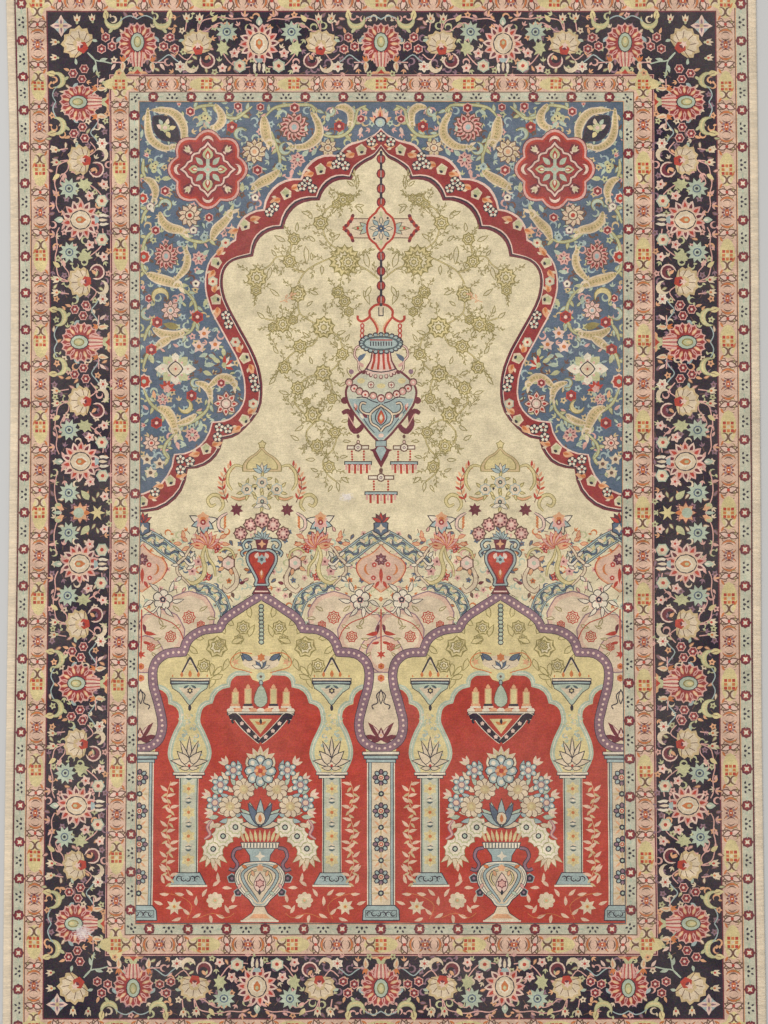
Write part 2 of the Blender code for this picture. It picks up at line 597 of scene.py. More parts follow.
def peach_unit(pen, span):
    """Half a repeat of the peach guard, from its ringed star to its square flower."""
    pen.at(span, 0).oval(46, 21.5, "lemon", 12)
    for radius, thick, yarn in ((10.4, 3.8, "umber"), (9.8, 2.6, "orange"), (6.2, 1.8, "umber")):
        for start in (100, 280):
            pen.at(11.5, 0, -90).fill(crescent(radius, thick, start - 80, start + 60, 7), yarn)
    for k in range(8):
        pen.at(0, 0, 45 * k).at(0, 5.6).oval(3.2, 3.6, "maroon" if k % 2 == 0 else "mauve", 5)
    pen.dot(5.6, "brick", 7)
    pen.dot(2.8, "ivory", 5)
    lily = pen.at(span * 0.47, 0)
    for way in (-1, 1):
        for bend in (2.8, -2.8):
            lily.at(0, 0, 90 - 90 * way).edged(leaf(10.4, 6.2, bend), "cream" if bend > 0 else "blush",
                "umber", 1.6)
        lily.at(5 * way, 6, -60 * way).fill(crescent(3.4, 1.3, 20, 250, 6), "olive")
        lily.at(5 * way, -6, 180 + 60 * way).fill(crescent(3.4, 1.3, 20, 250, 6), "umber")
    lily.dot(4.5, "brick", 6)
    for way in (-1, 1):
        scroll = pen.at(span * 0.76, 5.4 * way, 90 - 90 * way)
        scroll.fill(crescent(6.4, 2.8, 150, 390, 7), "umber")
        scroll.at(0, 0.8).fill(crescent(4.6, 2.4, 160, 380, 6), "cream")
        scroll.at(4.5, 1, -60).leaf(8.5, 3.0, "orange")
    for x in (-5.2, 0, 5.2):
        for y in (-5.2, 0, 5.2):
            if x or y:
                pen.fill(box(4.0, 4.0, span + x, y), "brick" if x * y else "orange")
    pen.fill(box(3.6, 3.6, span), "cream")


def celadon_unit(pen, span):
    """A maroon blossom with a pale heart, and half of the dark sprig after it."""
    pen.fill(lobed(8.0, 8, 0.16, 3), "maroon")
    pen.dot(9.4, "red", 8)
    pen.fill(star(4.4, 2.0, 4, turn=45), "ivory")
    for x, y, turn in ((span - 2.6, 1.6, 30), (span - 4.2, -2.6, 70), (span - 0.4, -3.4, 0)):
        pen.at(x, y, turn).leaf(4.6, 3.0, "ink", steps=3)
    pen.at(span * 0.55, 0, 90).leaf(9, 2.2, "celadon")


def run_of(pen, half_length, distance, repeats, unit):
    """Even repeats of a mirrored half unit along one side, centred on it."""
    span = half_length / repeats
    for i in range(repeats):
        place = -half_length + (2 * i + 1) * span
        unit(pen.at(place, distance), span)
        unit(pen.at(place, distance, flip=True), span)


def frame_sides(pen):
    """A pen for each side of the rug, its up pointing out of the rug, with that side's reach."""
    return ((pen.at(0, 0), "across"), (pen.at(0, 0, 90), "along"), (pen.at(0, 0, 180), "across"),
        (pen.at(0, 0, 270), "along"))


def band(pen, inner, width, yarn):
    """One even frame, drawn as a full rectangle that the next band covers."""
    outer = inner + width
    pen.fill(box(2 * (FIELD_HALF[0] + outer), 2 * (FIELD_HALF[1] + outer)), yarn)
    return outer


def band_places():
    """Where each band starts, counted out from the field's edge."""
    widths = (
        ("field_line", FIELD_LINE), ("inner_celadon", INNER_CELADON), ("line_a", THIN_LINE),
        ("inner_peach", INNER_PEACH), ("line_b", WIDE_LINE), ("main", MAIN_BORDER),
        ("line_c", WIDE_LINE), ("outer_peach", OUTER_PEACH), ("line_d", THIN_LINE),
        ("outer_celadon", OUTER_CELADON), ("line_e", THIN_LINE),
    )
    places, reach = {}, 0.0
    for name, width in widths:
        places[name] = (reach, width)
        reach += width
    return places


BAND_YARN = {
    "field_line": "teal",
    "inner_celadon": "guard_green",
    "line_a": "umber",
    "inner_peach": "guard",
    "line_b": "maroon",
    "main": "navy",
    "line_c": "maroon",
    "outer_peach": "guard",
    "line_d": "umber",
    "outer_celadon": "guard_green",
    "line_e": "maroon",
}


def draw_bands(pen):
    places = band_places()
    for name in reversed(list(places)):
        start, width = places[name]
        band(pen, start, width, BAND_YARN[name])
        if name in ("main", "inner_celadon", "outer_celadon"):
            band(pen, start, 0.9, "rose" if name == "main" else "apricot")


def draw_main_border(pen):
    start, width = band_places()["main"]
    middle = start + width / 2
    reach = {"across": FIELD_HALF[0] + middle, "along": FIELD_HALF[1] + middle}
    half_turns = {"across": (0, 163.5, 327), "along": (-69, 69, 230, 395, 554)}
    for side, way in frame_sides(pen):
        out = reach["along" if way == "across" else "across"]
        stops = half_turns[way]
        for flip in (False, True):
            run = side.at(0, out, flip=flip)
            strewn(run, (4, stops[-1] + 38, -37, 37), None, 14.5, 8.2,
                ("rose", "cream", "mauve", "apricot", "leaf"), "umber", 3)
            if way == "across":
                border_unit(run.at(stops[0], 0), 163.5)
                border_unit(run.at(stops[2], 0, flip=True), 163.5)
                long_palmette(run.at(stops[2], 0))
                flame_palmette(run.at(stops[1], 0))
                last = stops[2]
            else:
                border_unit(run.at(230, 0, flip=True), 161)
                border_unit(run.at(230, 0), 165)
                border_unit(run.at(554, 0, flip=True), 159)
                border_middle(run)
                for place in (69, 395):
                    flame_palmette(run.at(place, 0))
                for place in (230, 554):
                    long_palmette(run.at(place, 0))
                last = stops[4]
            corner_unit(run.at(last, 0))
        if way == "across":
            long_palmette(side.at(0, out))
        else:
            middle_bud(side.at(0, out))
        border_corner(side.at(-reach[way], out))


def corner_unit(pen):
    """What lies between the last long palmette of a side and the corner."""
    sickle_leaf(pen.at(33, 31))
    berry_cluster(pen.at(43, -1))
    leaf_spray(pen.at(20, -25))
    pen.line(curve([(0, 33), (9, 37.5), (18, 35), (24, 30)], 3), 1.5, "sky")


def border_middle(pen):
    """The sprigs between the two flame palmettes in the middle of a long side."""
    star_flower(pen.at(27, 16), 15, 10, "celadon", "steel", "ink")
    petal_flower(pen.at(42, -14), 7.4, 5, "blush", "brick", "rose")
    rosette(pen.at(50, -31), 9.4, 6, "cream", "celadon", "brick")
    petal_flower(pen.at(22, -34), 7, 5, "blush", "brick")
    pen.at(17, -12, 120).leaf(-17, 9.5, "leaf", 3, 5)
    pen.line(curve([(0, 26), (18, 34), (36, 36), (56, 32)], 3), 1.5, "rose")
    pen.at(42, 34, -10).leaf(10, 4.6, "rose")


def middle_bud(pen):
    """The pointed flower at the exact middle of a long side."""
    pen.fill(star(15.5, 9.5, 8), "maroon")
    pen.fill(star(13.5, 8.5, 8), "apricot")
    pen.oval(14, 15, "celadon", 10, y=2)
    pen.at(0, -5).leaf(-9, 6, "orange")
    pen.at(0, -24).fill(star(11.5, 4.6, 6), "lemon")
    for way in (-1, 1):
        pen.at(9 * way, 31, 8 * way).dot(9, "leaf", 8)
        pen.at(4 * way, 22, -20 * way).leaf(12, 5, "apricot", steps=5)
    pen.at(0, 25).leaf(14, 5, "celadon", steps=5)


def draw_guards(pen):
    places = band_places()
    guards = (
        ("inner_celadon", (13, 22), celadon_unit), ("inner_peach", (6, 10), peach_unit),
        ("outer_peach", (8, 12), peach_unit), ("outer_celadon", (19, 29), celadon_unit),
    )
    for name, repeats, unit in guards:
        start, width = places[name]
        middle = start + width / 2
        half_x, half_y = FIELD_HALF[0] + middle, FIELD_HALF[1] + middle
        for side, way in frame_sides(pen):
            if way == "across":
                run_of(side, half_x, half_y, repeats[0], unit)
            else:
                run_of(side, half_y, half_x, repeats[1], unit)


# Niche


BAND_WIDTH = 22.0
FOOT_OUTER = ((-336, 24), (-279, 79), (-228, 123))
FOOT_INNER = ((-318, 3), (-262, 61), (-214, 101))
WAIST_OUTER = (
    (-228, 123), (-204, 127), (-187, 146), (-184, 171), (-191, 200), (-209, 235), (-228, 271),
    (-237, 303), (-233, 335), (-217, 355), (-196.5, 368.5),
)
WAIST_INNER = (
    (-214, 101), (-193, 108), (-167, 137), (-162, 172.6), (-170.5, 208), (-189.5, 245), (-207.7, 279),
    (-215, 305), (-212.5, 327), (-200, 341), (-174.5, 348),
)
CROWN_OUTER = ((-196.5, 368.5), (-158.4, 409.5), (-108, 451), (-58.3, 482))
CROWN_INNER = ((-174.5, 348), (-133.5, 385.5), (-85, 424), (-41, 452))
POINT_OUTER = ((-58.3, 482), (-45, 497), (-24, 503), (-8, 511), (0, 519))
POINT_INNER = ((-41, 452), (-36, 464), (-22, 475), (-9, 482), (0, 494))


def between(outer, inner, share):
    return [out + (into - out) * share for out, into in zip(as_complex(outer), as_complex(inner))]


def arch_outline(inset=0.0):
    """A line of the niche's band: the left half up to its point, then its mirror."""
    share = inset / BAND_WIDTH
    foot = scallops(between(FOOT_OUTER, FOOT_INNER, share), -0.2, 6)
    waist = curve(between(WAIST_OUTER, WAIST_INNER, share), 3)
    crown = scallops(between(CROWN_OUTER, CROWN_INNER, share), 0.22, 7)
    point = curve(between(POINT_OUTER, POINT_INNER, share), 3)
    left = foot[:-1] + waist[:-1] + crown[:-1] + point
    return left + [complex(-z.real, z.imag) for z in left[-2::-1]]


def under_arch(outline):
    """The niche's line closed far below the field."""
    foot = outline[0].imag
    return outline + as_complex([(700, foot), (700, -700), (-700, -700), (-700, foot)])


def draw_niche(pen):
    for inset, yarn in ((0, "blush"), (2.0, "red"), (19.6, "blush"), (20.8, "ink"), (22.2, "maroon"),
            (24.6, "field")):
        pen.fill(under_arch(arch_outline(inset)), yarn)


# Spandrels


def stations(path, pitch):
    """Even places along a path, each with the turn of its way."""
    left = pitch / 2
    for start, end in zip(path, path[1:]):
        reach = abs(end - start)
        while left <= reach:
            place = start + (end - start) * (left / reach)
            yield place.real, place.imag, math.degrees(cmath.phase(end - start)) - 90
            left += pitch
        left -= reach


def arabesque(pen, points, width):
    """A thick split leaf of the vine: a pale rim round a flecked middle, with hooked side tips."""
    path = curve(points, 3)
    for side in (-1, 1):
        for x, y, way in stations(path, 13.5):
            tip = pen.at(x, y, way + 38 * side)
            tip.leaf(width * 1.15, width * 0.5, "leaf" if side > 0 else "cream", 2.5 * side)
    pen.line(path, width + 3.4, "cream", 0.8)
    pen.line(path, width - 0.4, "straw", 0.9)
    for x, y, way in stations(path, 4.4):
        pen.at(x, y, way).oval(width * 0.42, 2.8, "olive", 5)
        pen.at(x, y, way).oval(width * 0.2, 1.4, "lemon", 4)
    x, y, way = list(stations(path, 6))[-1]
    pen.at(x, y, way + 60).fill(crescent(width * 0.6, width * 0.3, 30, 270, 7), "cream")


def vine(pen, points, width=3.2, yarn="leaf"):
    path = curve(points, 3)
    for i in range(2, len(path) - 1, 2):
        way = math.degrees(cmath.phase(path[i] - path[i - 1])) - 90
        shoot = pen.at(path[i].real, path[i].imag, way + (50 if i % 4 else -50))
        shoot.leaf(12, 5.6, "olive", 2)
        shoot.at(0, 1).leaf(10, 4, "celadon" if i % 4 else yarn, 2)
    pen.line(path, width + 1.6, "olive", 0.6)
    pen.line(path, width, yarn, 0.7)


def tulip(pen, size, petal="ivory", heart="rose", base="celadon"):
    """A three-pointed flower with a darker heart, opening upwards."""
    pen.fill([(-size * 0.62, size * 0.7), (-size * 0.5, -size * 0.1), (0, -size * 0.6),
        (size * 0.5, -size * 0.1), (size * 0.62, size * 0.7), (size * 0.26, size * 0.42), (0, size),
        (-size * 0.26, size * 0.42)], petal)
    pen.leaf(size * 0.7, size * 0.42, heart)
    pen.at(0, -size * 0.7).oval(size * 0.7, size * 0.35, base, 6)


def niche_medallion(pen):
    """The eight-lobed red medallion with a pointed quatrefoil of palmettes."""
    for radius, yarn in ((46.4, "maroon"), (45.4, "rose"), (42.6, "brick"), (39.6, "red")):
        cusps = [radius * cmath.exp(-0.25j * math.pi * (k + 0.5)) for k in range(9)]
        pen.fill(scallops(cusps, 0.34, 6)[:-1], yarn)
    for turn in (0, 90, 180, 270):
        side = pen.at(0, 0, turn)
        side.at(0, 38).fill(crescent(7.4, 3.4, -10, 190, 7), "blush")
        side.at(0, 38).fill(crescent(5.2, 1.8, 10, 170, 5), "ivory")
        side.at(0, 0, 45).at(0, 37.5).fill(lobed(8.4, 5, 0.14, 2), "maroon")
        tulip(side.at(0, 0, 45).at(0, 37), 7.4, "cream", "leaf", "blush")
    quarter = [(0, 37.5), (5, 31), (10.5, 27.5), (12.5, 23), (18.5, 22)]
    outline = []
    for turn in range(4):
        spin = cmath.exp(-0.5j * math.pi * turn)
        outline += [complex(*p) * spin for p in quarter]
        outline += [complex(y, x) * spin for x, y in quarter[:0:-1]]
    pen.edged(outline, "blush", "maroon", 1.4)
    pen.fill(swell(outline, -2.4), "maroon")
    pen.fill(swell(outline, -3.4), "red")
    for turn, size in ((0, 1.0), (180, 1.0), (90, 0.8), (270, 0.8)):
        side = pen.at(0, 0, turn)
        side.at(0, 17.5).fill(lobed(10.6 * size, 7, 0.16, 2), "maroon")
        side.at(0, 12).leaf(18 * size, 14 * size, "leaf", steps=5)
        side.at(0, 13).leaf(13 * size, 7 * size, "brick")
        side.at(0, 14).leaf(8 * size, 3.6 * size, "ivory")
        side.line([(0, 0), (0, 14)], 4.4, "celadon")
        side.at(0, 0, 45).at(0, 9).leaf(14, 7, "celadon", steps=5)
    pen.fill(lobed(6.4, 4, 0.14, 3), "celadon")
    pen.dot(4.4, "rose", 7)


def corner_ogive(pen):
    """The dark pointed oval in the corner of the field, with a pale bud inside."""
    dark = [(-17, 15), (0, 17), (12, 10.5), (18, -2), (20, -12), (25, -23.5), (13, -19), (-4, -17),
        (-15, -5)]
    pen.fill(curve(dark, 3, True), "dusk")
    pen.fill(swell(curve(dark, 3, True), -1.8), "ink")
    for x, y, turn, length, yarn in ((-7, 8, 30, 9, "celadon"), (5, 8, -10, 9, "cream"),
            (-4, -3, 60, 11, "blush"), (10, -3, -70, 10, "lemon"), (4, -10, -150, 10, "lemon")):
        pen.at(x * 0.5, y * 0.5, turn).leaf(length, length * 0.62, yarn)
    pen.fill(lobed(7.5, 6, 0.2, 2), "leaf")
    pen.dot(6, "blush", 7)


def pale_bud(pen, size=9.0):
    """A pale three-lobed bud with dark dots and two hanging leaves."""
    for x, y in ((-0.55, 0.1), (0.55, 0.1), (0, 0.62)):
        pen.at(x * size, y * size).oval(size * 1.1, size * 1.0, "leaf", 8)
    pen.at(0, size * 0.2).oval(size * 0.9, size * 0.8, "lemon", 7)
    for x, y in ((-0.45, 0.1), (0, 0.45), (0.45, 0.1)):
        pen.at(x * size, y * size).oval(size * 0.26, size * 0.34, "ink", 5)
    for way in (-1, 1):
        pen.at(0, -size * 0.4, -118 * way).leaf(size * 1.5, size * 0.6, "celadon", 3 * way)


def curl(pen, radius, yarn="leaf"):
    """A hooked leaf."""
    pen.fill(crescent(radius + 1.2, radius * 0.62 + 1.2, 20, 285, 10), "olive")
    pen.fill(crescent(radius, radius * 0.6, 25, 280, 10), yarn)


def ringed_flower(pen, radius, petals, petal, tip, heart, high=1.0):
    """A wide blossom: tipped petals round a dark ring with a pale heart."""
    for k in range(petals):
        turned = pen.at(0, 0, 360 * k / petals)
        reach = radius * (1 + (high - 1) * abs(math.cos(2 * math.pi * k / petals)))
        turned.at(0, radius * 0.2).leaf(reach * 0.92, radius * 0.66, "umber")
        turned.at(0, radius * 0.2).leaf(reach * 0.82, radius * 0.5, petal)
        turned.at(0, reach * 0.5).leaf(reach * 0.36, radius * 0.26, tip, steps=3)
    pen.oval(radius * 0.94, radius * 0.94 * high, "umber", 10)
    pen.oval(radius * 0.74, radius * 0.74 * high, petal, 9)
    pen.oval(radius * 0.4, radius * 0.42 * high, heart, 7)


def star_flowers(pen, places, size, petal, heart):
    for x, y in places:
        pen.at(x, y).fill(star(size, size * 0.55, 5), petal)
        pen.at(x, y).dot(size * 0.62, heart, 6)


def spandrel_vines(pen):
    """The thick split leaves and the thinner vine that carries them."""
    vines = (
        ((-216, 543), (-206, 533), (-194, 532), (-184, 539), (-173, 548)),
        ((-256, 541), (-246, 547), (-232, 549), (-224, 549)),
        ((-147, 514), (-142, 498), (-136, 481), (-137, 462)),
        ((-158, 531), (-146, 544), (-132, 549), (-110, 550), (-93, 549), (-86, 540)),
        ((-84, 514), (-72, 508), (-58, 507), (-45, 512), (-36, 525), (-31, 543), (-20, 549)),
        ((-319, 477), (-320, 462), (-316, 451)), ((-304, 426), (-310, 414), (-318, 403), (-322, 390)),
        ((-275, 380), (-257, 368), (-241, 365), (-228, 369)),
        ((-300, 384), (-311, 376), (-319, 362), (-322, 340), (-319, 326), (-311, 320)),
        ((-268, 304), (-256, 292), (-249, 278), (-249, 262), (-255, 246), (-266, 239)),
        ((-309, 254), (-315, 245), (-319, 232)), ((-304, 224), (-315, 212), (-320, 194)),
        ((-320, 168), (-311, 148), (-299, 138), (-291, 132)),
        ((-230, 158), (-234, 139), (-247, 127), (-262, 119), (-273, 116)),
        ((-276, 108), (-289, 94), (-292, 82), (-285, 72)),
    )
    for points in vines:
        vine(pen, points)
    leaves = (
        (((-313, 545), (-313, 520), (-308, 503), (-292, 492), (-275, 494)), 8.5),
        (((-308, 543), (-283, 541), (-269, 529), (-264, 512), (-268, 496)), 9.5),
        (((-223, 551), (-215, 539), (-214, 528), (-221, 520), (-231, 519)), 9.0),
        (((-158, 535), (-156, 521), (-154, 508), (-147, 494)), 12.0),
        (((-136, 462), (-148, 452), (-162, 445), (-174, 436)), 11.0),
        (((-94, 540), (-86, 528), (-83, 516), (-86, 506), (-95, 497), (-106, 493), (-121, 494)), 9.5),
        (((-61, 546), (-50, 547), (-41, 539), (-42, 520)), 8.0),
        (((-319, 451), (-309, 446), (-303, 434), (-305, 420)), 8.5),
        (((-297, 406), (-294, 393), (-283, 384), (-269, 381), (-260, 377)), 10.0),
        (((-228, 367), (-222, 381), (-211, 392), (-199, 407)), 10.5),
        (((-315, 323), (-301, 316), (-283, 311), (-270, 305)), 11.5),
        (((-278, 313), (-265, 326), (-260, 341), (-263, 357)), 7.5),
        (((-307, 249), (-294, 241), (-280, 239), (-264, 243)), 10.5),
        (((-282, 237), (-293, 230), (-304, 222)), 9.0), (((-250, 176), (-238, 172), (-231, 164),
        (-230, 152)), 7.5), (((-233, 168), (-218, 181), (-204, 181), (-196, 169)), 8.5),
        (((-301, 142), (-289, 137), (-281, 124), (-275, 106)), 11.5),
        (((-276, 120), (-261, 124), (-248, 133)), 6.0),
    )
    for points, width in leaves:
        arabesque(pen, points, width)


def spandrel_flowers(pen):
    """The blossoms, buds and curls of one upper corner of the field."""
    corner_ogive(pen.at(-290, 519))
    niche_medallion(pen.at(-232.7, 463))
    pale_bud(pen.at(-237, 531, -8), 9)
    pale_bud(pen.at(-303, 466, 75), 8)
    for x, y, radius in ((-116.6, 520, 19), (-288.9, 346, 15)):
        ringed_flower(pen.at(x, y), radius, 14, "rose", "red", "sky", 1.0 if radius > 16 else 1.25)
    ringed_flower(pen.at(-170, 487), 16, 10, "cream", "straw", "apricot")
    ringed_flower(pen.at(-257, 401), 15, 10, "cream", "peach", "brick")
    ringed_flower(pen.at(-283, 273), 12.5, 8, "blush", "rose", "sky")
    ringed_flower(pen.at(-71, 492), 12, 7, "cream", "straw", "apricot")
    ringed_flower(pen.at(-309, 94), 11, 8, "blush", "peach", "brick")
    ringed_flower(pen.at(-208.6, 147), 16, 8, "blush", "brick", "ivory")
    reds = (
        (-192, 548, 6.5), (-256, 541, 7), (-162, 547, 6), (-116, 546, 7.5), (-200, 520, 8),
        (-166, 462, 7.5), (-56, 521, 8), (-27, 531, 6.5), (-231, 398, 6.5), (-290, 434, 7),
        (-303, 381, 6.5), (-312, 289, 6), (-247, 264, 9), (-301, 257, 8), (-309, 220, 8.5),
        (-255, 158, 8), (-215, 175, 6.5), (-302, 121, 8.5),
    )
    for x, y, radius in reds:
        rosette(pen.at(x, y), radius, 6, "red", "brick" if radius > 7.5 else "rose", "blush", "maroon")
    for x, y, radius in ((-112, 476, 11), (-245, 343, 10), (-254, 105, 10.5), (-294, 153, 8.5)):
        petal_flower(pen.at(x, y), radius, 7, "rose", "celadon", "maroon")
        pen.at(x, y, -50).at(0, radius * 0.7).leaf(radius * 1.1, radius * 0.6, "celadon", steps=5)
    for x, y, radius in ((-319, 345, 10), (-319, 177, 11), (-320, 424, 8)):
        rosette(pen.at(x, y), radius, 8, "brick", "blush", "celadon")
    for x, y in ((-169, 425), (-64, 541), (-252, 381), (-249, 309), (-310, 413)):
        rosette(pen.at(x, y), 6.5, 5, "ivory", "mauve", "ink")
    for x, y in ((-137, 467), (-238, 371)):
        rosette(pen.at(x, y), 5.5, 4, "sky", "celadon", "teal")
    star_flowers(pen, ((-238, 242), (-245, 224), (-223, 227)), 9.5, "blush", "orange")
    star_flowers(pen, ((-315, 72), (-298, 66), (-310, 54)), 9.0, "cream", "umber")
    for x, y, radius, turn in ((-189, 511, 8, 0), (-129, 491, 8, 60), (-68, 541, 6.5, 150),
            (-290, 415, 8, -80), (-297, 292, 11, -50), (-315, 268, 8, 40), (-250, 175, 6, 20),
            (-263, 143, 9, 160)):
        curl(pen.at(x, y, turn), radius, "celadon" if radius < 8.5 else "lemon")
    leaves = (
        (-186, 432, 10, 14, "leaf"), (-172, 414, 150, 12, "sky"), (-151, 476, 30, 12, "sky"),
        (-92, 481, -20, 13, "celadon"), (-71, 527, 10, 13, "celadon"), (-26, 520, 170, 11, "blush"),
        (-119, 464, 175, 12, "rose"), (-295, 450, -80, 14, "leaf"), (-305, 405, 40, 10, "ivory"),
        (-217, 405, -20, 12, "celadon"), (-250, 323, -70, 13, "celadon"), (-268, 281, 20, 12, "celadon"),
        (-238, 278, -15, 13, "leaf"), (-272, 250, 82, 22, "olive"), (-311, 283, 170, 10, "blush"),
        (-272, 224, 75, 9, "rose"), (-233, 215, 120, 13, "celadon"), (-232, 213, -110, 13, "celadon"),
        (-213, 222, -160, 13, "leaf"), (-306, 201, 25, 14, "leaf"), (-300, 194, -160, 12, "celadon"),
        (-238, 198, -75, 15, "celadon"), (-240, 190, -100, 14, "leaf"), (-216, 203, 70, 14, "leaf"),
        (-304, 154, 20, 12, "apricot"), (-276, 96, -150, 12, "rose"), (-242, 112, 10, 13, "celadon"),
        (-313, 139, 60, 10, "rose"), (-280, 76, 200, 12, "apricot"), (-262, 90, 60, 11, "celadon"),
        (-322, 505, 0, 12, "celadon"), (-205, 553, 90, 12, "celadon"), (-140, 536, -40, 12, "celadon"),
        (-100, 514, 20, 9, "celadon"), (-215, 350, 10, 12, "celadon"),
    )
    for x, y, turn, length, yarn in leaves:
        pen.at(x, y, turn).leaf(length, length * 0.46, yarn, 2)
    for x, y, turn in ((-271, 550, 0), (-320, 302, 0), (-318, 118, 90), (-314, 481, 40),
            (-275, 286, 100)):
        bud(pen.at(x, y, turn), 6.5, "rose", "brick", "celadon")
    lotus = pen.at(-211, 199, -60)
    for turn in (-56, -28, 0, 28, 56):
        lotus.at(0, 0, turn).leaf(14, 5, "ivory" if turn % 56 else "brick")
    lotus.oval(8, 7, "leaf", 7)
    great_star(pen.at(-276.6, 194))
    ragged = pen.at(-288, 167, -10)
    for turn in range(-80, 81, 40):
        ragged.at(0, 0, turn).leaf(12, 5.4, "brick", 2)
    ragged.fill(lobed(6, 5, 0.2, 2), "rose")


def great_star(pen):
    """The wide pale star with eight round petals and a dark quatrefoil heart."""
    for k in range(8):
        side = pen.at(0, 0, 45 * k)
        reach = 27 if k in (2, 6) else 22 if k % 2 else 21
        side.at(0, 7).leaf(reach - 6, 14, "ivory" if k % 2 == 0 else "leaf", steps=5)
        side.at(0, reach - 10).oval(3.4, 3.8, "rose", 5)
        side.at(0, 0, 22.5).at(0, 14).leaf(7, 4, "celadon", steps=3)
    pen.oval(25, 20, "ivory", 10)
    pen.fill(lobed(11, 4, 0.2, 3), "ink")
    pen.fill(lobed(9.2, 4, 0.2, 3), "cream")
    pen.fill(lobed(4.4, 4, 0.2, 2), "peach")
    pen.dot(3, "brick", 5)


def crown_palmette(pen):
    """The upright palmette over the point of the niche."""
    for turn in (-60, -34, 34, 60, -14, 14, 0):
        pen.at(0, -8, turn).leaf(23 - abs(turn) * 0.1, 7.5, "blush" if turn % 4 else "apricot")
        pen.at(0, -3, turn).leaf(12, 3, "brick", steps=3)
    pen.oval(17, 15, "ink", 10, y=-6)
    pen.oval(13, 12, "sky", 9, y=-7)
    pen.oval(7, 8, "celadon", 7, y=-7)


# Niche band


def dotted_cluster(pen, places):
    """Small white blossoms with dark dots, crowded together."""
    for x, y in places:
        pen.at(x, y).dot(14, "ink", 8)
        for k in range(5):
            side = pen.at(x, y, 72 * k)
            side.at(0, 4.0).oval(4.1, 4.8, "ivory", 5)
        pen.at(x, y).dot(2.8, "brick", 4)


def flame_bud(pen, size=1.0):
    """A pale bud with a dark spot, between two flame tails."""
    for way in (-1, 1):
        tail = pen.at(0, 9.5 * way * size, 90 - 90 * way)
        tail.leaf(15 * size, 9 * size, "apricot", 4, 5)
        tail.leaf(9 * size, 4 * size, "orange", 2)
        tail.at(4 * size, 3 * size, -40).leaf(7, 3.4, "cream", steps=3)
    pen.fill([(-6 * size, -5 * size), (5 * size, -7 * size), (8 * size, 3 * size), (2 * size, 8 * size),
        (-7 * size, 5 * size)], "cream")
    pen.at(-1, 1).fill(lobed(5.6 * size, 5, 0.2, 2), "leaf")
    pen.at(3.2 * size, -3 * size).leaf(6, 4.2, "ink", steps=3)


def draw_niche_band(pen):
    clusters = (
        ((-13, 500), (0, 507), (13, 500)), ((-54, 480), (-60, 470), (-48, 468)),
        ((-99, 447), (-106, 440), (-92, 437)), ((-143, 412), (-150, 405)), ((-209, 266), (-205, 254)),
        ((-172, 181), (-169, 169)), ((-218, 115), (-206, 113), (-220, 102)),
        ((-270, 72), (-257, 69), (-270, 58)), ((-304, 28),),
    )
    buds = (
        (-27, 489, -62), (-82, 463, -62), (-128, 430, -52), (-184, 388, -56), (-222, 337, -16),
        (-222, 287, 10), (-183, 208, 35), (-184, 125, -35), (-236, 86, -60), (-284, 43, -60),
        (-321, 15, -60),
    )
    for x, y, turn in buds:
        flame_bud(pen.at(x, y, turn))
    for x, y, turn in ((-226, 312, 0), (-196, 230, 30), (-172, 147, 0), (-209, 364, -50)):
        rosette(pen.at(x, y, turn), 7.2, 6, "cream", "celadon", "brick")
    for places in clusters:
        dotted_cluster(pen, places)


# Tracery and lamp of the pale field


def drawn_flower(pen, radius, petals, yarn="olive", ground="lemon", turn=0.0):
    """A blossom in outline: two rings of scalloped petals round a small heart."""
    for share, fill in ((1.06, ground), (0.68, "field"), (0.34, ground)):
        pen.fill(lobed(radius * share, petals, 0.2, 3, turn=90 + turn), yarn)
        pen.fill(lobed(max(radius * share - 1.35, 0.6), petals, 0.2, 2, turn=90 + turn), fill)


def drawn_leaf(pen, length, width, bend=2.0, yarn="olive", ground="field"):
    pen.leaf(length, width, yarn, bend)
    pen.at(0, 1.5).leaf(length - 3.6, max(width - 2.5, 1.0), ground, bend * 0.8)


def drawn_sprig(pen, length, yarn="olive"):
    """A thin stem with paired open leaves and one at its tip."""
    pen.line(curve([(0, 0), (length * 0.08, length * 0.5), (0, length)], 2), 0.9, yarn)
    for share, turn in ((0.3, -55), (0.45, 50), (0.65, -45), (0.8, 40), (0.95, 0)):
        drawn_leaf(pen.at(0, length * share, turn), length * 0.34, length * 0.15, 1.0, yarn)


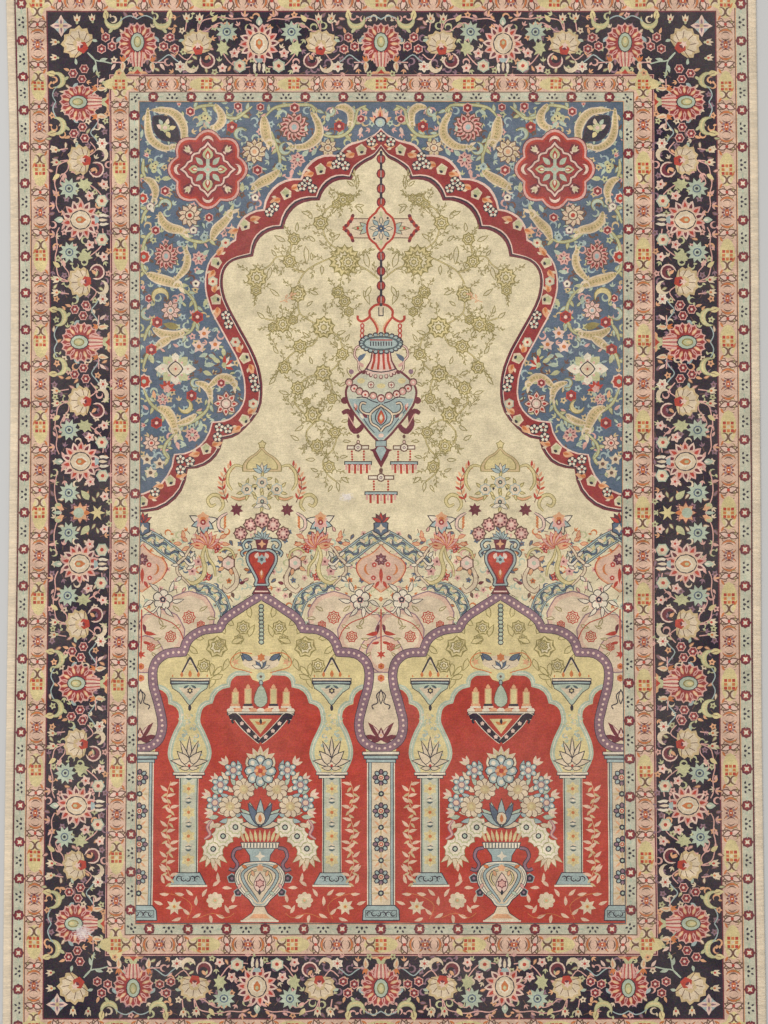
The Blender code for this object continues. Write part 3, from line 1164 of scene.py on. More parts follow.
def field_tracery(pen):
    """The gold vine with open blossoms, on one side of the hanging lamp."""
    stems = (
        ((-3, 315), (-18, 327), (-30, 333)), ((-69, 343), (-87, 335), (-103, 324), (-112, 308)),
        ((-60, 356), (-72, 366), (-78, 382), (-80, 398), (-72, 410), (-60, 418)),
        ((-103, 324), (-118, 330), (-122, 350), (-118, 366)),
        ((-124, 346), (-140, 345), (-148, 335), (-160, 326)),
        ((-112, 285), (-110, 270), (-98, 260), (-86, 254)), ((-110, 268), (-122, 258), (-140, 258),
        (-156, 262)), ((-68, 246), (-56, 236), (-52, 222)), ((-84, 240), (-92, 226), (-108, 222),
        (-128, 206), (-130, 188)), ((-52, 222), (-58, 200), (-74, 188), (-96, 184), (-112, 170)),
        ((-74, 188), (-66, 170), (-70, 150)), ((-112, 170), (-116, 150), (-104, 134), (-84, 126)),
        ((-84, 126), (-66, 118), (-60, 100), (-66, 84)), ((-66, 84), (-78, 70), (-74, 54), (-60, 42)),
        ((-84, 126), (-100, 110), (-98, 94), (-84, 88)),
    )
    for points in stems:
        pen.line(curve(points, 3), 2.2, "olive")
        pen.line(curve(points, 3), 0.9, "lemon")
        for k, (x, y, way) in enumerate(stations(curve(points, 3), 15)):
            drawn_sprig(pen.at(x, y, way + (48 if k % 2 else -48)), 15)
    flowers = (
        (-49, 340, 21, 13), (-44, 338, 12, 9), (-51, 422, 9.5, 8), (-60, 416, 7, 6), (-42, 424, 6.5, 6),
        (-81, 391, 10.5, 7), (-123, 339, 9.5, 7), (-117, 369, 9, 7), (-167, 317, 14, 9),
        (-168, 300, 8, 6), (-112, 295, 11.5, 8), (-58, 297, 9, 7), (-49, 285, 8.5, 7), (-43, 271, 7, 6),
        (-77, 250, 15, 9), (-132, 254, 11, 8), (-146, 250, 7, 6), (-118, 260, 7, 6), (-109, 224, 10, 8),
        (-52, 214, 9, 7), (-130, 196, 9.5, 7), (-78, 188, 12, 8), (-112, 168, 10, 8), (-66, 154, 8, 7),
        (-92, 132, 12, 8), (-62, 108, 8.5, 7), (-86, 90, 10, 8), (-70, 62, 9, 7), (-100, 150, 6, 6),
    )
    for x, y, radius, petals in flowers:
        for turn in (30, 150, 270):
            drawn_sprig(pen.at(x, y, turn + 2 * x).at(0, radius - 2), 9 + radius * 0.5)
        drawn_flower(pen.at(x, y), radius, petals)
    leaves = (
        (-16, 330, 20, 24, 9), (-24, 300, -150, 22, 8), (-14, 306, 160, 18, 7), (-36, 412, -70, 14, 6),
        (-34, 414, -130, 15, 6), (-32, 436, 5, 20, 7), (-36, 440, 60, 13, 5), (-66, 403, -30, 13, 5),
        (-92, 396, 40, 15, 7), (-94, 402, 80, 14, 6), (-88, 366, 60, 13, 6), (-64, 368, -40, 13, 6),
        (-113, 378, 5, 14, 6), (-128, 366, 70, 18, 7), (-102, 360, 190, 26, 8), (-148, 332, 170, 20, 7),
        (-140, 346, 50, 12, 5), (-92, 340, 20, 12, 5), (-80, 334, 190, 14, 6), (-136, 292, 60, 18, 6),
        (-84, 294, 70, 16, 6), (-100, 278, -40, 12, 5), (-156, 262, 60, 14, 6), (-150, 268, 20, 12, 5),
        (-60, 240, -60, 14, 6), (-48, 230, -20, 13, 5), (-96, 236, 60, 13, 5), (-120, 236, 40, 13, 6),
        (-138, 214, 40, 14, 6), (-142, 184, 150, 15, 6), (-118, 190, -100, 14, 6),
        (-62, 204, -60, 13, 5), (-46, 196, -150, 15, 6), (-92, 200, 30, 12, 5), (-98, 178, 170, 13, 5),
        (-56, 170, -50, 13, 5), (-124, 160, 80, 15, 6), (-104, 118, 130, 15, 6), (-72, 136, -30, 12, 5),
        (-54, 122, -70, 12, 5), (-110, 98, 70, 14, 6), (-52, 96, -80, 12, 5), (-88, 72, 100, 14, 6),
        (-56, 74, -70, 12, 5), (-60, 42, 200, 15, 6), (-54, 48, -120, 14, 6), (-84, 56, 80, 12, 5),
        (-66, 38, 160, 12, 5),
    )
    for x, y, turn, length, width in leaves:
        drawn_leaf(pen.at(x, y, turn), length, width)
    drawn_sprig(pen.at(-33, 436, 8), 22)
    drawn_sprig(pen.at(-136, 284, -60), 20, "apricot")
    drawn_sprig(pen.at(-140, 220, 30), 18)
    drawn_sprig(pen.at(-118, 140, 40), 18)


def chain_links(pen, places):
    for y in places:
        link = pen.at(0, y)
        link.fill(box(3.4, 22), "ink")
        link.oval(12.4, 14.4, "maroon", 10)
        link.oval(9.0, 11.0, "brick", 9)
        link.fill(box(3.2, 14), "ink")
        link.fill(box(1.2, 9), "rose")


def chain_cartouche(pen):
    """The pointed cross-shaped plaque in the lamp's chain."""
    for way in (-1, 1):
        pen.line([(12 * way, 13), (38 * way, 13)], 1.4, "umber")
        pen.line([(12 * way, -13), (38 * way, -13)], 1.4, "umber")
        pen.fill([(10 * way, 12.4), (10 * way, -12.4), (38 * way, -12.4), (46 * way, 0),
            (38 * way, 12.4)], "cream")
        for side in (-1, 1):
            pen.line([(38 * way, 17.5 * side), (39.5 * way, 12 * side), (43 * way, 8 * side),
                (45 * way, 4 * side), (51 * way, 0)], 4.6, "brick")
            for x, y in ((38, 17), (41, 9), (47, 3.5)):
                pen.at(x * way, y * side).dot(5, "maroon", 6)
        arm = pen.at(12 * way, 0, -90 * way)
        for turn in (-38, 0, 38):
            arm.at(0, 6, turn).edged(leaf(20 - abs(turn) * 0.2, 5.5, steps=4),
                "celadon" if turn else "leaf", "umber", 0.9)
        arm.at(0, 8).fill(lobed(6, 5, 0.2, 2), "sky")
        arm.at(0, 19).dot(4, "brick", 6)
    body = curve([(0, 28.5), (6, 20), (14, 13), (17.5, 0), (14, -13), (6, -20), (0, -28.5), (-6, -20),
        (-14, -13), (-17.5, 0), (-14, 13), (-6, 20)], 2, True)
    pen.edged(body, "cream", "brick", 3.0)
    for turn in range(0, 360, 45):
        side = pen.at(0, 0, turn)
        side.at(0, 5).leaf(11.5, 6.4, "teal")
        side.at(0, 5.8).leaf(9.4, 4.2, "sky" if turn % 90 else "cream")
    for x, y in ((-9, 14), (9, 14), (-9, -14), (9, -14)):
        pen.dot(3.4, "ink", 6, x=x, y=y)
    for way in (-1, 1):
        pen.at(0, 15 * way, 90 - 90 * way).leaf(9, 5, "leaf")
    pen.fill(lobed(6.4, 8, 0.2, 2), "steel")
    pen.dot(5, "ink", 7)
    pen.dot(2.6, "cream", 5)


def hanging_tassel(pen, reach, strand):
    """A barred tassel: ring, disc on a bar, two strands, and a lower bar with a fringe."""
    pen.oval(5, 6, "umber", 8, y=7.5)
    pen.oval(2.8, 3.6, "blush", 6, y=7.5)
    pen.edged(box(reach * 1.55, 3.2), "ivory", "umber", 1.5)
    pen.dot(12, "umber", 9)
    pen.dot(8.6, "ivory", 8)
    pen.dot(4.4, "mauve", 6)
    pen.dot(2.2, "ivory", 5)
    for way in (-1, 1):
        for k in range(4):
            pen.oval(3, strand / 5, "brick", 6, x=reach * 0.46 * way, y=-3.5 - strand * (k + 0.5) / 4.6)
    pen.edged(box(reach * 2, 2.6, 0, -strand - 4), "sky", "ink", 1.3)
    count = 9
    for k in range(count):
        x = reach * 1.8 * (k / (count - 1) - 0.5)
        drop = 9 + 4 * (k % 2) - abs(x) * 0.08
        pen.line([(x, -strand - 5.6), (x, -strand - 5.6 - drop)], 3.0, "brick" if k % 2 else "rose")


def lamp_outline():
    left = curve([(0, 192), (-14, 190), (-25.5, 188.6), (-38, 178), (-44.5, 168), (-45.5, 158),
        (-41, 144), (-30, 128), (-16, 111), (-7, 101), (0, 95)], 3)
    return left + [complex(-z.real, z.imag) for z in left[-2:0:-1]]


def draw_lamp(pen):
    """The hanging mosque lamp with its handles, pearl garland and three tassels."""
    for way in (False, True):
        half = pen.at(0, 0, flip=way)
        half.line(curve([(-2, 281), (-9, 279), (-15.5, 272), (-15.5, 264), (-25, 258), (-31, 261),
            (-31, 266)], 3), 3.4, "brick")
        half.line(curve([(-15, 264), (-9, 256), (-5, 247), (-6, 241)], 3), 2.8, "brick")
        half.line(curve([(-11, 262), (-4, 252), (-3, 244)], 3), 1.6, "apricot")
        for k in range(5):
            half.oval(6.4, 8, "brick", 8, x=-25.3, y=252 - 6.5 * k)
            half.oval(3, 4.4, "blush", 6, x=-25.3, y=252 - 6.5 * k)
        half.line(curve([(-27, 226), (-34, 222), (-36, 212), (-30, 204), (-30, 194), (-26, 190)], 3),
            3.4, "maroon")
        half.line(curve([(-27, 226), (-34, 222), (-36, 212), (-30, 204), (-30, 194), (-26, 190)], 3),
            1.6, "blush")
        half.at(-30, 204, -20).leaf(14, 7, "steel", 6, 5)
        half.at(-24, 196, 25).leaf(9, 5, "rose", -2, 5)
        half.dot(7, "mauve", 8, x=-40, y=190)
        half.dot(10, "maroon", 9, x=-49, y=151.5)
        half.line(curve([(-52, 134), (-45, 137), (-40, 130), (-41, 119), (-35, 110), (-28, 113),
            (-25, 118)], 3), 8.2, "maroon", 0.4)
        half.line(curve([(-45, 133), (-40, 124), (-36, 117)], 3), 1.3, "rose")
        half.oval(4.4, 6, "umber", 7, x=-31, y=103)
        hanging_tassel(half.at(-31, 88), 17.5, 17)
    pen.fill(box(7, 12, 0, 271), "ink")
    pen.fill(box(4.4, 12, 0, 272.4), "cream")
    outline = lamp_outline()
    pen.edged(outline, "guard_green", "maroon", 3.0)
    pen.fill([z for z in swell(outline, -1.2) if z.imag < 158], "sky")
    pen.fill([(-26, 187), (-15, 205), (-12, 222), (12, 222), (15, 205), (26, 187)], "maroon")
    pen.fill([(-22, 187), (-13, 205), (-10.5, 222), (10.5, 222), (13, 205), (22, 187)], "blush")
    for x in (-8.6, -3, 3, 8.6):
        pen.line([(x, 220), (x * 1.1, 205), (x * 1.5, 192)], 3.2, "brick")
    for k in range(22):
        way = cmath.exp(2j * math.pi * (k + 0.5) / 22)
        pen.at(26.8 * way.real, 228.5 + 12.3 * way.imag).oval(7.6, 6.4, "ink", 7)
        pen.at(26 * way.real, 228.5 + 11.6 * way.imag).oval(5, 3.8, "sky", 6)
    pen.oval(50, 20, "teal", 16, y=228.5)
    pen.oval(44, 15, "sky", 14, y=228.5)
    pen.fill(box(30, 1.6, 0, 233), "brick")
    for k in range(9):
        pen.fill(box(1.5, 6, -14 + 3.5 * k, 228), "ink")
    for k in range(9):
        way = cmath.exp(1j * math.pi * (1 + k / 8))
        pen.at(19.5 * way.real, 192 + 9 * way.imag).oval(5.6, 6.4, "maroon", 7)
        pen.at(19 * way.real, 192 + 8.6 * way.imag).oval(3.6, 4.4, "blush", 6)
    pen.fill([(-20, 193), (20, 193), (14, 187), (-14, 187)], "blush")
    pen.line([(-21, 194), (-10, 190.5), (0, 189.5), (10, 190.5), (21, 194)], 1.6, "ink")
    beads = ((-43, 176), (-36, 168), (-29, 164), (-21, 160), (-10.5, 158), (0, 154.5))
    for k, (x, y) in enumerate(beads):
        for way in (-1, 1):
            pen.dot(11.4, "umber" if k % 2 == 0 else "maroon", 9, x=x * way, y=y)
            pen.dot(8.4, "rose" if k % 2 == 0 else "blush", 8, x=x * way, y=y - 0.6)
            pen.dot(3.4, "brick" if k % 2 else "ivory", 5, x=x * way, y=y - 0.6)
    for x in (-13.4, 13.8):
        pen.dot(9.6, "maroon", 8, x=x, y=172.4)
        pen.dot(7.4, "ivory", 8, x=x, y=172.4)
        pen.at(x, 172.4).fill(star(3.6, 1, 4), "red")
    for x in (-27, 28):
        pen.oval(11, 8, "lemon", 8, x=x, y=178)
    pen.oval(12, 7, "lemon", 8, y=171)
    for half in pen.halves():
        for width, yarn in ((4.6, "ink"), (2.2, "cream")):
            half.line(curve([(0, 145), (-9, 139), (-15, 132), (-13, 121), (-5, 116), (0, 110)], 3),
                width, yarn)
            half.line(curve([(-13, 133), (-22, 134), (-28, 140), (-26, 148), (-20, 147)], 3), width, yarn)
        half.line(curve([(-4, 148), (-13, 151), (-22, 156), (-33, 155)], 3), 1.4, "ink")
        half.line(curve([(-9, 108), (-17, 117), (-26, 130), (-37, 143)], 3), 1.4, "teal")
        half.at(-18, 128, 60).leaf(10, 4.4, "maroon", 2)
        half.at(-24, 126, 20).leaf(10, 4, "ivory", -2)
        half.at(-33, 146, 170).leaf(9, 4, "brick")
        half.at(-36, 148, 200).leaf(8, 3.4, "blush")
    pen.at(0, 117).leaf(27, 17, "ink", steps=6)
    pen.at(0, 118.5).leaf(24, 14, "sky", steps=6)
    pen.at(0, 119).leaf(20, 10, "brick", steps=5)
    pen.at(0, 121).leaf(15, 6, "orange", steps=5)
    pen.at(0, 124).leaf(9, 4, "ivory")
    pen.oval(8, 6, "blush", 7, y=104)
    pen.edged(box(13, 7, 0, 93), "sky", "ink", 1.1)
    pen.fill([(-16, 85), (-11, 82), (-9, 76), (0, 60), (9, 76), (11, 82), (16, 85), (9, 86), (5, 90),
        (-5, 90), (-9, 86)], "maroon")
    pen.fill([(-7, 84), (0, 70), (7, 84), (4, 89), (-4, 89)], "sky")
    hanging_tassel(pen.at(0, 47.5), 21, 17)
    pen.oval(5.4, 7, "umber", 8, y=57)


def draw_niche_field(pen):
    for half in pen.halves():
        field_tracery(half)
    chain_links(pen, (477, 457, 437, 419, 346, 326, 306, 287))
    chain_cartouche(pen.at(0, 383.5))
    draw_lamp(pen)


# Flowers and crests above the arcade

ARCH_AXIS = 160.2


def lily(pen, size=1.0):
    """A dark-outlined lily with a red heart and curled leaves."""
    for turn, length, width, yarn in ((70, 15, 7, "ivory"), (-70, 15, 7, "ivory"), (115, 12, 7, "sky"),
            (-115, 12, 7, "sky"), (165, 13, 8, "cream"), (-165, 13, 8, "sky")):
        pen.at(0, 0, turn).edged(leaf(length * size, width * size, 2, 4), yarn, "ink", 1.3)
    pen.fill(lobed(8.5 * size, 6, 0.2, 2), "rose")
    pen.at(0, 5 * size).fill(lobed(7 * size, 5, 0.2, 2), "apricot")
    pen.at(0, 4 * size).oval(6 * size, 4 * size, "orange", 7)
    pen.dot(6.4 * size, "red", 7)
    pen.dot(2.6 * size, "blush", 5)


def feather(pen, length, yarn):
    """A curved stem with small pointed leaves on both sides."""
    path = curve([(0, 0), (-length * 0.14, length * 0.35), (-length * 0.12, length * 0.7),
        (length * 0.08, length)], 3)
    pen.line(path, 1.2, "umber")
    for i in range(1, len(path)):
        way = math.degrees(cmath.phase(path[i] - path[i - 1])) - 90
        for side in (-1, 1):
            pen.at(path[i].real, path[i].imag, way + 42 * side).leaf(9.4, 3.6,
                yarn if i % 2 else "apricot", steps=3)


def scroll_leaf(pen, points, width, fill="cream", edge="ink"):
    path = curve(points, 3)
    pen.line(path, width + 2.0, edge, 0.5)
    pen.line(path, width, fill, 0.55)


def small_vase(pen):
    """The little red urn that stands on the point of each arch."""
    for half in pen.halves():
        for width, yarn in ((5.0, "ink"), (2.4, "sky")):
            half.line(curve([(-12, -37), (-20, -37), (-25, -43), (-21, -50), (-15, -47), (-17, -43)], 3),
                width, yarn)
            half.line(curve([(-22, -50), (-27, -54), (-24, -59)], 3), width, yarn)
    body = curve([(0, -50), (-10, -49), (-19, -55), (-20, -66), (-14, -78), (-8, -90), (-9, -98),
        (9, -98), (8, -90), (14, -78), (20, -66), (19, -55), (10, -49)], 3, True)
    pen.edged(body, "sky", "ink", 1.4)
    pen.fill(swell(body, -2.6), "maroon")
    pen.fill(swell(body, -4.4), "brick")
    for way in (-1, 1):
        pen.at(8 * way, -62, 20 * way).leaf(9, 6, "blush")
    pen.at(0, -63).fill(lobed(7, 6, 0.2, 2), "sky")
    pen.at(0, -63).dot(5, "teal", 6)
    pen.at(0, -76).leaf(-14, 6, "orange")
    pen.at(0, -77).leaf(-8, 3, "blush", steps=3)
    pen.fill([(-9, -36), (9, -36), (6, -50), (-6, -50)], "maroon")
    pen.at(0, -42).fill(star(6, 2.6, 4), "apricot")
    pen.edged([(-12, -109), (-6, -99), (6, -99), (12, -109)], "maroon", "ink", 1.0)
    pen.fill(box(18, 1.8, 0, -106), "blush")


def pale_bloom(pen):
    """A pale blossom with a dark ring, on a spray of drawn leaves."""
    for turn in range(0, 360, 60):
        drawn_leaf(pen.at(0, 0, turn).at(0, 6), 10, 5, 2, "olive", "lemon")
    pen.fill(lobed(8.6, 7, 0.2, 3), "sky")
    pen.fill(lobed(7.2, 7, 0.2, 3), "cream")
    pen.dot(6, "ink", 7)
    pen.dot(3.2, "celadon", 6)


def bouquet(pen):
    """A domed bouquet over its small urn, on the axis of an arch."""
    for half in pen.halves():
        scroll_leaf(half, [(-58, 2), (-52, 10), (-56, 21), (-66, 24), (-73, 17), (-69, 9), (-62, 12)],
            3.6, "lemon", "olive")
        feather(half.at(-46, 14), 48, "brick")
        scroll_leaf(half, [(-26, 62), (-36, 64), (-45, 54), (-46, 40), (-40, 30)], 3.0, "lemon", "olive")
        scroll_leaf(half, [(-42, 22), (-30, 18), (-16, 24)], 3.0, "apricot", "olive")
        half.at(-34, 4).fill(star(9.5, 5.4, 7), "maroon")
        scroll_leaf(half, [(-46, 0), (-57, -8), (-58, -20), (-50, -24)], 3.4, "blush", "ink")
        for k in range(4):
            half.at(-48, -4 - 4 * k, 150).leaf(7, 3, "orange", steps=3)
        lily(half.at(-79, -13), 1.25)
        for k in range(9):
            petal = half.at(-75, -46, 20 * (k - 4))
            petal.edged(leaf(21, 8.4, steps=5), "rose" if k % 2 else "apricot", "brick", 0.8)
            petal.at(0, 8).leaf(8, 2.6, "brick", steps=3)
        for x, y, turn in ((-100, -38, 60), (-104, -34, 20), (-108, -42, 90), (-98, -46, 120),
                (-56, -34, -60), (-54, -42, -90)):
            half.at(x, y, turn).edged(leaf(10, 4.6, 1, 4), "apricot", "brick", 0.7)
        for x, y in ((-59, -49), (-85, -66), (-93, -79), (-74, -86)):
            petal_flower(half.at(x, y), 7.2, 5, "brick" if y > -60 or y < -80 else "rose", "maroon",
                "rose")
        scroll_leaf(half, [(-75, -46), (-72, -60), (-64, -72), (-62, -86)], 2.4, "lemon", "olive")
        scroll_leaf(half, [(-75, -44), (-80, -58), (-76, -74), (-80, -88), (-92, -95), (-102, -90)], 4.4,
            "lemon", "olive")
        scroll_leaf(half, [(-92, -44), (-98, -50), (-104, -60), (-112, -68), (-113, -80), (-104, -90),
            (-96, -98)], 3.2, "cream", "umber")
        for x, y, turn in ((-104, -58, 60), (-112, -70, 100), (-108, -86, 140), (-96, -60, -30),
                (-100, -76, -60)):
            half.at(x, y, turn).edged(leaf(9, 4, 1, 4), "ivory", "ink", 0.9)
        rosette(half.at(-45, -68), 11, 6, "blush", "umber", "celadon")
        for turn in (-40, 60, 130, 200):
            half.at(-45, -68, turn).at(0, 8).edged(leaf(9, 5, 1, 4), "apricot", "umber", 0.7)
        scroll_leaf(half, [(-58, -54), (-50, -48), (-40, -52), (-36, -62)], 2.2, "lemon", "olive")
        scroll_leaf(half, [(-38, -74), (-33, -86), (-35, -98), (-46, -106), (-52, -100)], 5.4, "cream",
            "umber")
        half.at(-30, -96, -70).leaf(9, 5, "maroon")
        half.at(-40, -107, 200).leaf(9, 5, "umber")
        pale_bloom(half.at(-20, 31.5))
        half.at(-9, 30).leaf(7, 3.4, "ink", steps=3)
    rise = curve([(-25, 56), (-25, 64), (-18, 74), (-7, 81), (0, 89)], 3)
    dome = rise + [complex(-z.real, z.imag) for z in rise[-2::-1]]
    for size, yarn in ((1.06, "olive"), (1.0, "straw"), (0.84, "olive"), (0.78, "lemon")):
        pen.fill([complex(z.real * size, 70 + (z.imag - 70) * size) for z in dome], yarn)
    pen.at(0, 92).fill(lobed(6.4, 5, 0.2, 2), "olive")
    pen.at(0, 92).fill(lobed(4.8, 5, 0.2, 2), "lemon")
    for turn in (-64, -32, 0, 32, 64):
        pen.at(0, 54, turn).edged(leaf(13, 4.6, 0, 4), "sky" if turn else "cream", "ink", 0.7)
    pale_bloom(pen.at(0, 41))
    pale_bloom(pen.at(0, 15))
    for turn in (-120, 120):
        pen.at(0, 12, turn).edged(leaf(12, 5, 1, 4), "ivory", "ink", 0.7)
    for x, y, radius in ((-28.5, -28, 9.6), (28.5, -28, 9.6), (-15, -16, 9.8), (15, -16, 9.8),
            (0, -10, 11.4)):
        rosette(pen.at(x, y), radius * 1.1, 8, "rose", "umber", "blush", "maroon")
    for turn in (-75, -50, -25, 0, 25, 50, 75):
        pen.at(0, -37, turn).edged(leaf(13, 4.2, 0, 4), "sky", "ink", 0.8)
    small_vase(pen)


def scrolled_band(pen, path, width):
    """A grey-blue band with pale edges, a dark middle line and pale scrolls to both sides of it."""
    for share, yarn in ((1.12, "ink"), (1.02, "sky"), (0.84, "ink"), (0.74, "celadon")):
        pen.line(path, width * share, yarn, 0.2)
    for k, (x, y, way) in enumerate(stations(path, 9.5)):
        side = 1 if k % 2 else -1
        curled = pen.at(x, y, way + 90 + 90 * side)
        curled.fill(crescent(width * 0.34, width * 0.2, 10, 280, 8), "ink")
        curled.fill(crescent(width * 0.29, width * 0.11, 30, 260, 8), "steel")
        pen.at(x, y, way + 50 * side).edged(leaf(width * 0.5, width * 0.28, 2, 4), "cream", "teal", 0.7)
        pen.at(x, y, way + 180 - 50 * side).leaf(width * 0.42, width * 0.24, "lemon", 2)


def crest(pen):
    """The finial between two bouquets, its two sloping bands and the compartments under them."""
    for half in pen.halves():
        band_path = curve([(0, -28), (-18, -38), (-34, -50), (-48, -60), (-60, -68)], 4)
        scrolled_band(half, band_path, 19)
        scroll_leaf(half, [(-56, -62), (-64, -70), (-70, -66), (-68, -58)], 3.2, "ivory", "ink")
        compartment = curve([(0, -42), (-12, -54), (-28, -62), (-34, -74), (-28, -88), (-14, -98),
            (0, -108)], 3)
        half.fill(compartment, "brick")
        half.fill([z + 1.6 if z.real < -0.1 else z for z in compartment], "apricot")
        half.fill([z * 0.9 - 7.4j for z in compartment], "guard")
        half.at(-15, -76, 10).fill(crescent(8, 3.2, 100, 260, 7), "orange")
        rosette(half.at(-9, -70), 4.6, 5, "brick", "rose", "blush")
        rosette(half.at(-10, -88), 4.4, 5, "brick", "rose", "blush")
        line_flower(half.at(-28, -117))
        scroll_leaf(half, [(-6, -136), (-16, -134), (-22, -126)], 2.2, "ivory", "ink")
    petal_flower(pen.at(0, -63), 9, 7, "maroon", "rose", "mauve")
    pen.at(0, -74).leaf(-22, 5, "brick", steps=5)
    for half in pen.halves():
        half.at(-2, -92, 140).leaf(12, 4.6, "brick", -2)
    pen.at(0, -20).fill(lobed(12, 6, 0.2, 3), "ink")
    pen.at(0, -20).fill(lobed(10, 6, 0.2, 3), "steel")
    pen.at(0, -21).fill(star(6.4, 3, 4), "cream")
    for turn in (-60, -30, 0, 30, 60):
        pen.at(0, -13, turn).edged(leaf(13, 5, 0, 4), "maroon" if turn % 60 else "brick", "ink", 0.8)


def line_flower(pen):
    """An open rose drawn in dark outline with leaves round it."""
    for k in range(5):
        pen.at(0, 0, 72 * k + 10).at(0, 4).edged(oval(11, 10, 0, 4, 8), "ivory", "ink", 1.2)
    rosette(pen, 5.6, 5, "ink", "rose", "blush")
    for turn, reach in ((-30, 13), (40, 14), (100, 13), (160, 12), (-100, 13), (-160, 11)):
        pen.at(0, 0, turn).at(0, reach).edged(leaf(14, 5, 5, 4), "ivory", "ink", 1.0)


def blue_arcs(pen):
    """The curved blue bands beside the point of an arch."""
    for half in pen.halves():
        path = curve([(-98, -104), (-86, -101), (-70, -104), (-56, -114), (-49, -128), (-46, -142)], 4)
        scrolled_band(half, path, 16)
        peach = half.at(-97, -141)
        for x, y, radius in ((0, 0, 36), (-38, -22, 34), (-58, -50, 26)):
            peach.at(x, y).fill(lobed(radius, 9, 0.04, 3), "mauve")
            peach.at(x, y).fill(lobed(radius - 1.6, 9, 0.04, 3), "guard")
            peach.at(x, y).fill(lobed(radius - 7, 9, 0.04, 3), "cream")
        for x, y, radius, petals in ((0, 0, 9, 8), (-24, -26, 8, 7), (16, -10, 6, 6), (-50, -40, 6, 6)):
            drawn_flower(peach.at(x, y), radius, petals, "brick", "cream")
        for x, y, turn in ((-12, 8, 60), (14, 8, -50), (-10, -10, 120), (10, -16, 200), (-34, -12, 40),
                (-36, -36, 130), (-16, -40, 220), (24, -2, -80)):
            drawn_leaf(peach.at(x, y, turn), 13, 5.4, 2, "olive", "cream")


# Arcade

ARCH_LINE = (
    (-166, -318), (-152, -317), (-138, -309), (-132, -297), (-131, -281), (-136, -259), (-143, -234),
    (-144.5, -216), (-140, -201), (-126, -190), (-103, -188),
)


def arch_line():
    """The middle of an arch's band, from one bulb over the point to the next."""
    bulb = curve(ARCH_LINE, 3)
    shoulder = curve([(-103, -188), (-100, -176), (-92, -166), (-76, -158), (-55, -156)], 3)
    crown = curve([(-55, -156), (-51, -147), (-42, -138), (-24, -126), (-10, -117), (0, -111)], 3)
    left = bulb[:-1] + shoulder[:-1] + crown
    return left + [complex(-z.real, z.imag) for z in left[-2::-1]]


BULB_OUTER_SIDE = (
    (-108.5, -274), (-109.5, -284), (-116, -297), (-122, -314), (-122.5, -330), (-113, -350),
)
BULB_INNER_SIDE = ((-76, -350), (-66, -330), (-67, -314), (-74, -297), (-80, -284), (-80.5, -274))
LOBE_CORNERS = ((-80.5, -274), (-64, -257), (-41, -235), (-30, -219))


def niche_openings():
    """The red ground as it shows under the pale tympanum: the middle, and the strip by the band."""
    middle = curve(BULB_INNER_SIDE, 3)[:-1] + scallops(LOBE_CORNERS, 0.2, 4)
    middle += as_complex([(-15, -219), (-11, -225), (0, -229)])
    middle += [complex(-z.real, z.imag) for z in middle[-2::-1]]
    strip = as_complex([(-146, -352), (-138, -309), (-132, -297), (-131, -281), (-136, -259),
        (-143, -237)])
    strip += scallops([(-138, -237), (-123, -258), (-108.5, -274)], 0.2, 4)[:-1] + curve(BULB_OUTER_SIDE,
        3)
    return middle, strip


def lamp_bowl(pen):
    """The small oil lamp that hangs over a bulb capital."""
    for way in (-1, 1):
        pen.line([(0, -195), (12 * way, -219)], 3.0, "ink")
        pen.line([(0, -198), (11 * way, -219)], 0.9, "cream")
    for x, size in ((-23, 4), (-11, 8), (0, 10), (11, 8), (23, 4)):
        pen.at(x, -222).leaf(size, size * 0.5, "orange")
    pen.fill(box(53, 8.4, 0, -227), "ink")
    pen.fill(box(51, 2.2, 0, -225), "cream")
    pen.fill(box(49, 1.8, 0, -229), "sky")
    pen.edged(curve([(-24, -232), (24, -232), (14, -242), (6, -252), (0, -259), (-6, -252), (-14, -242)],
        2, True), "celadon", "ink", 1.0)
    pen.fill([(-15, -236), (15, -236), (0, -253)], "cream")
    pen.at(0, -240).fill(lobed(4.6, 6, 0.2, 2), "ink")
    pen.at(0, -240).dot(3.8, "lemon", 6)
    for way in (-1, 1):
        pen.at(9 * way, -237, 60 * way).leaf(9, 3.4, "teal")
    pen.oval(4.6, 9, "ink", 7, y=-263)


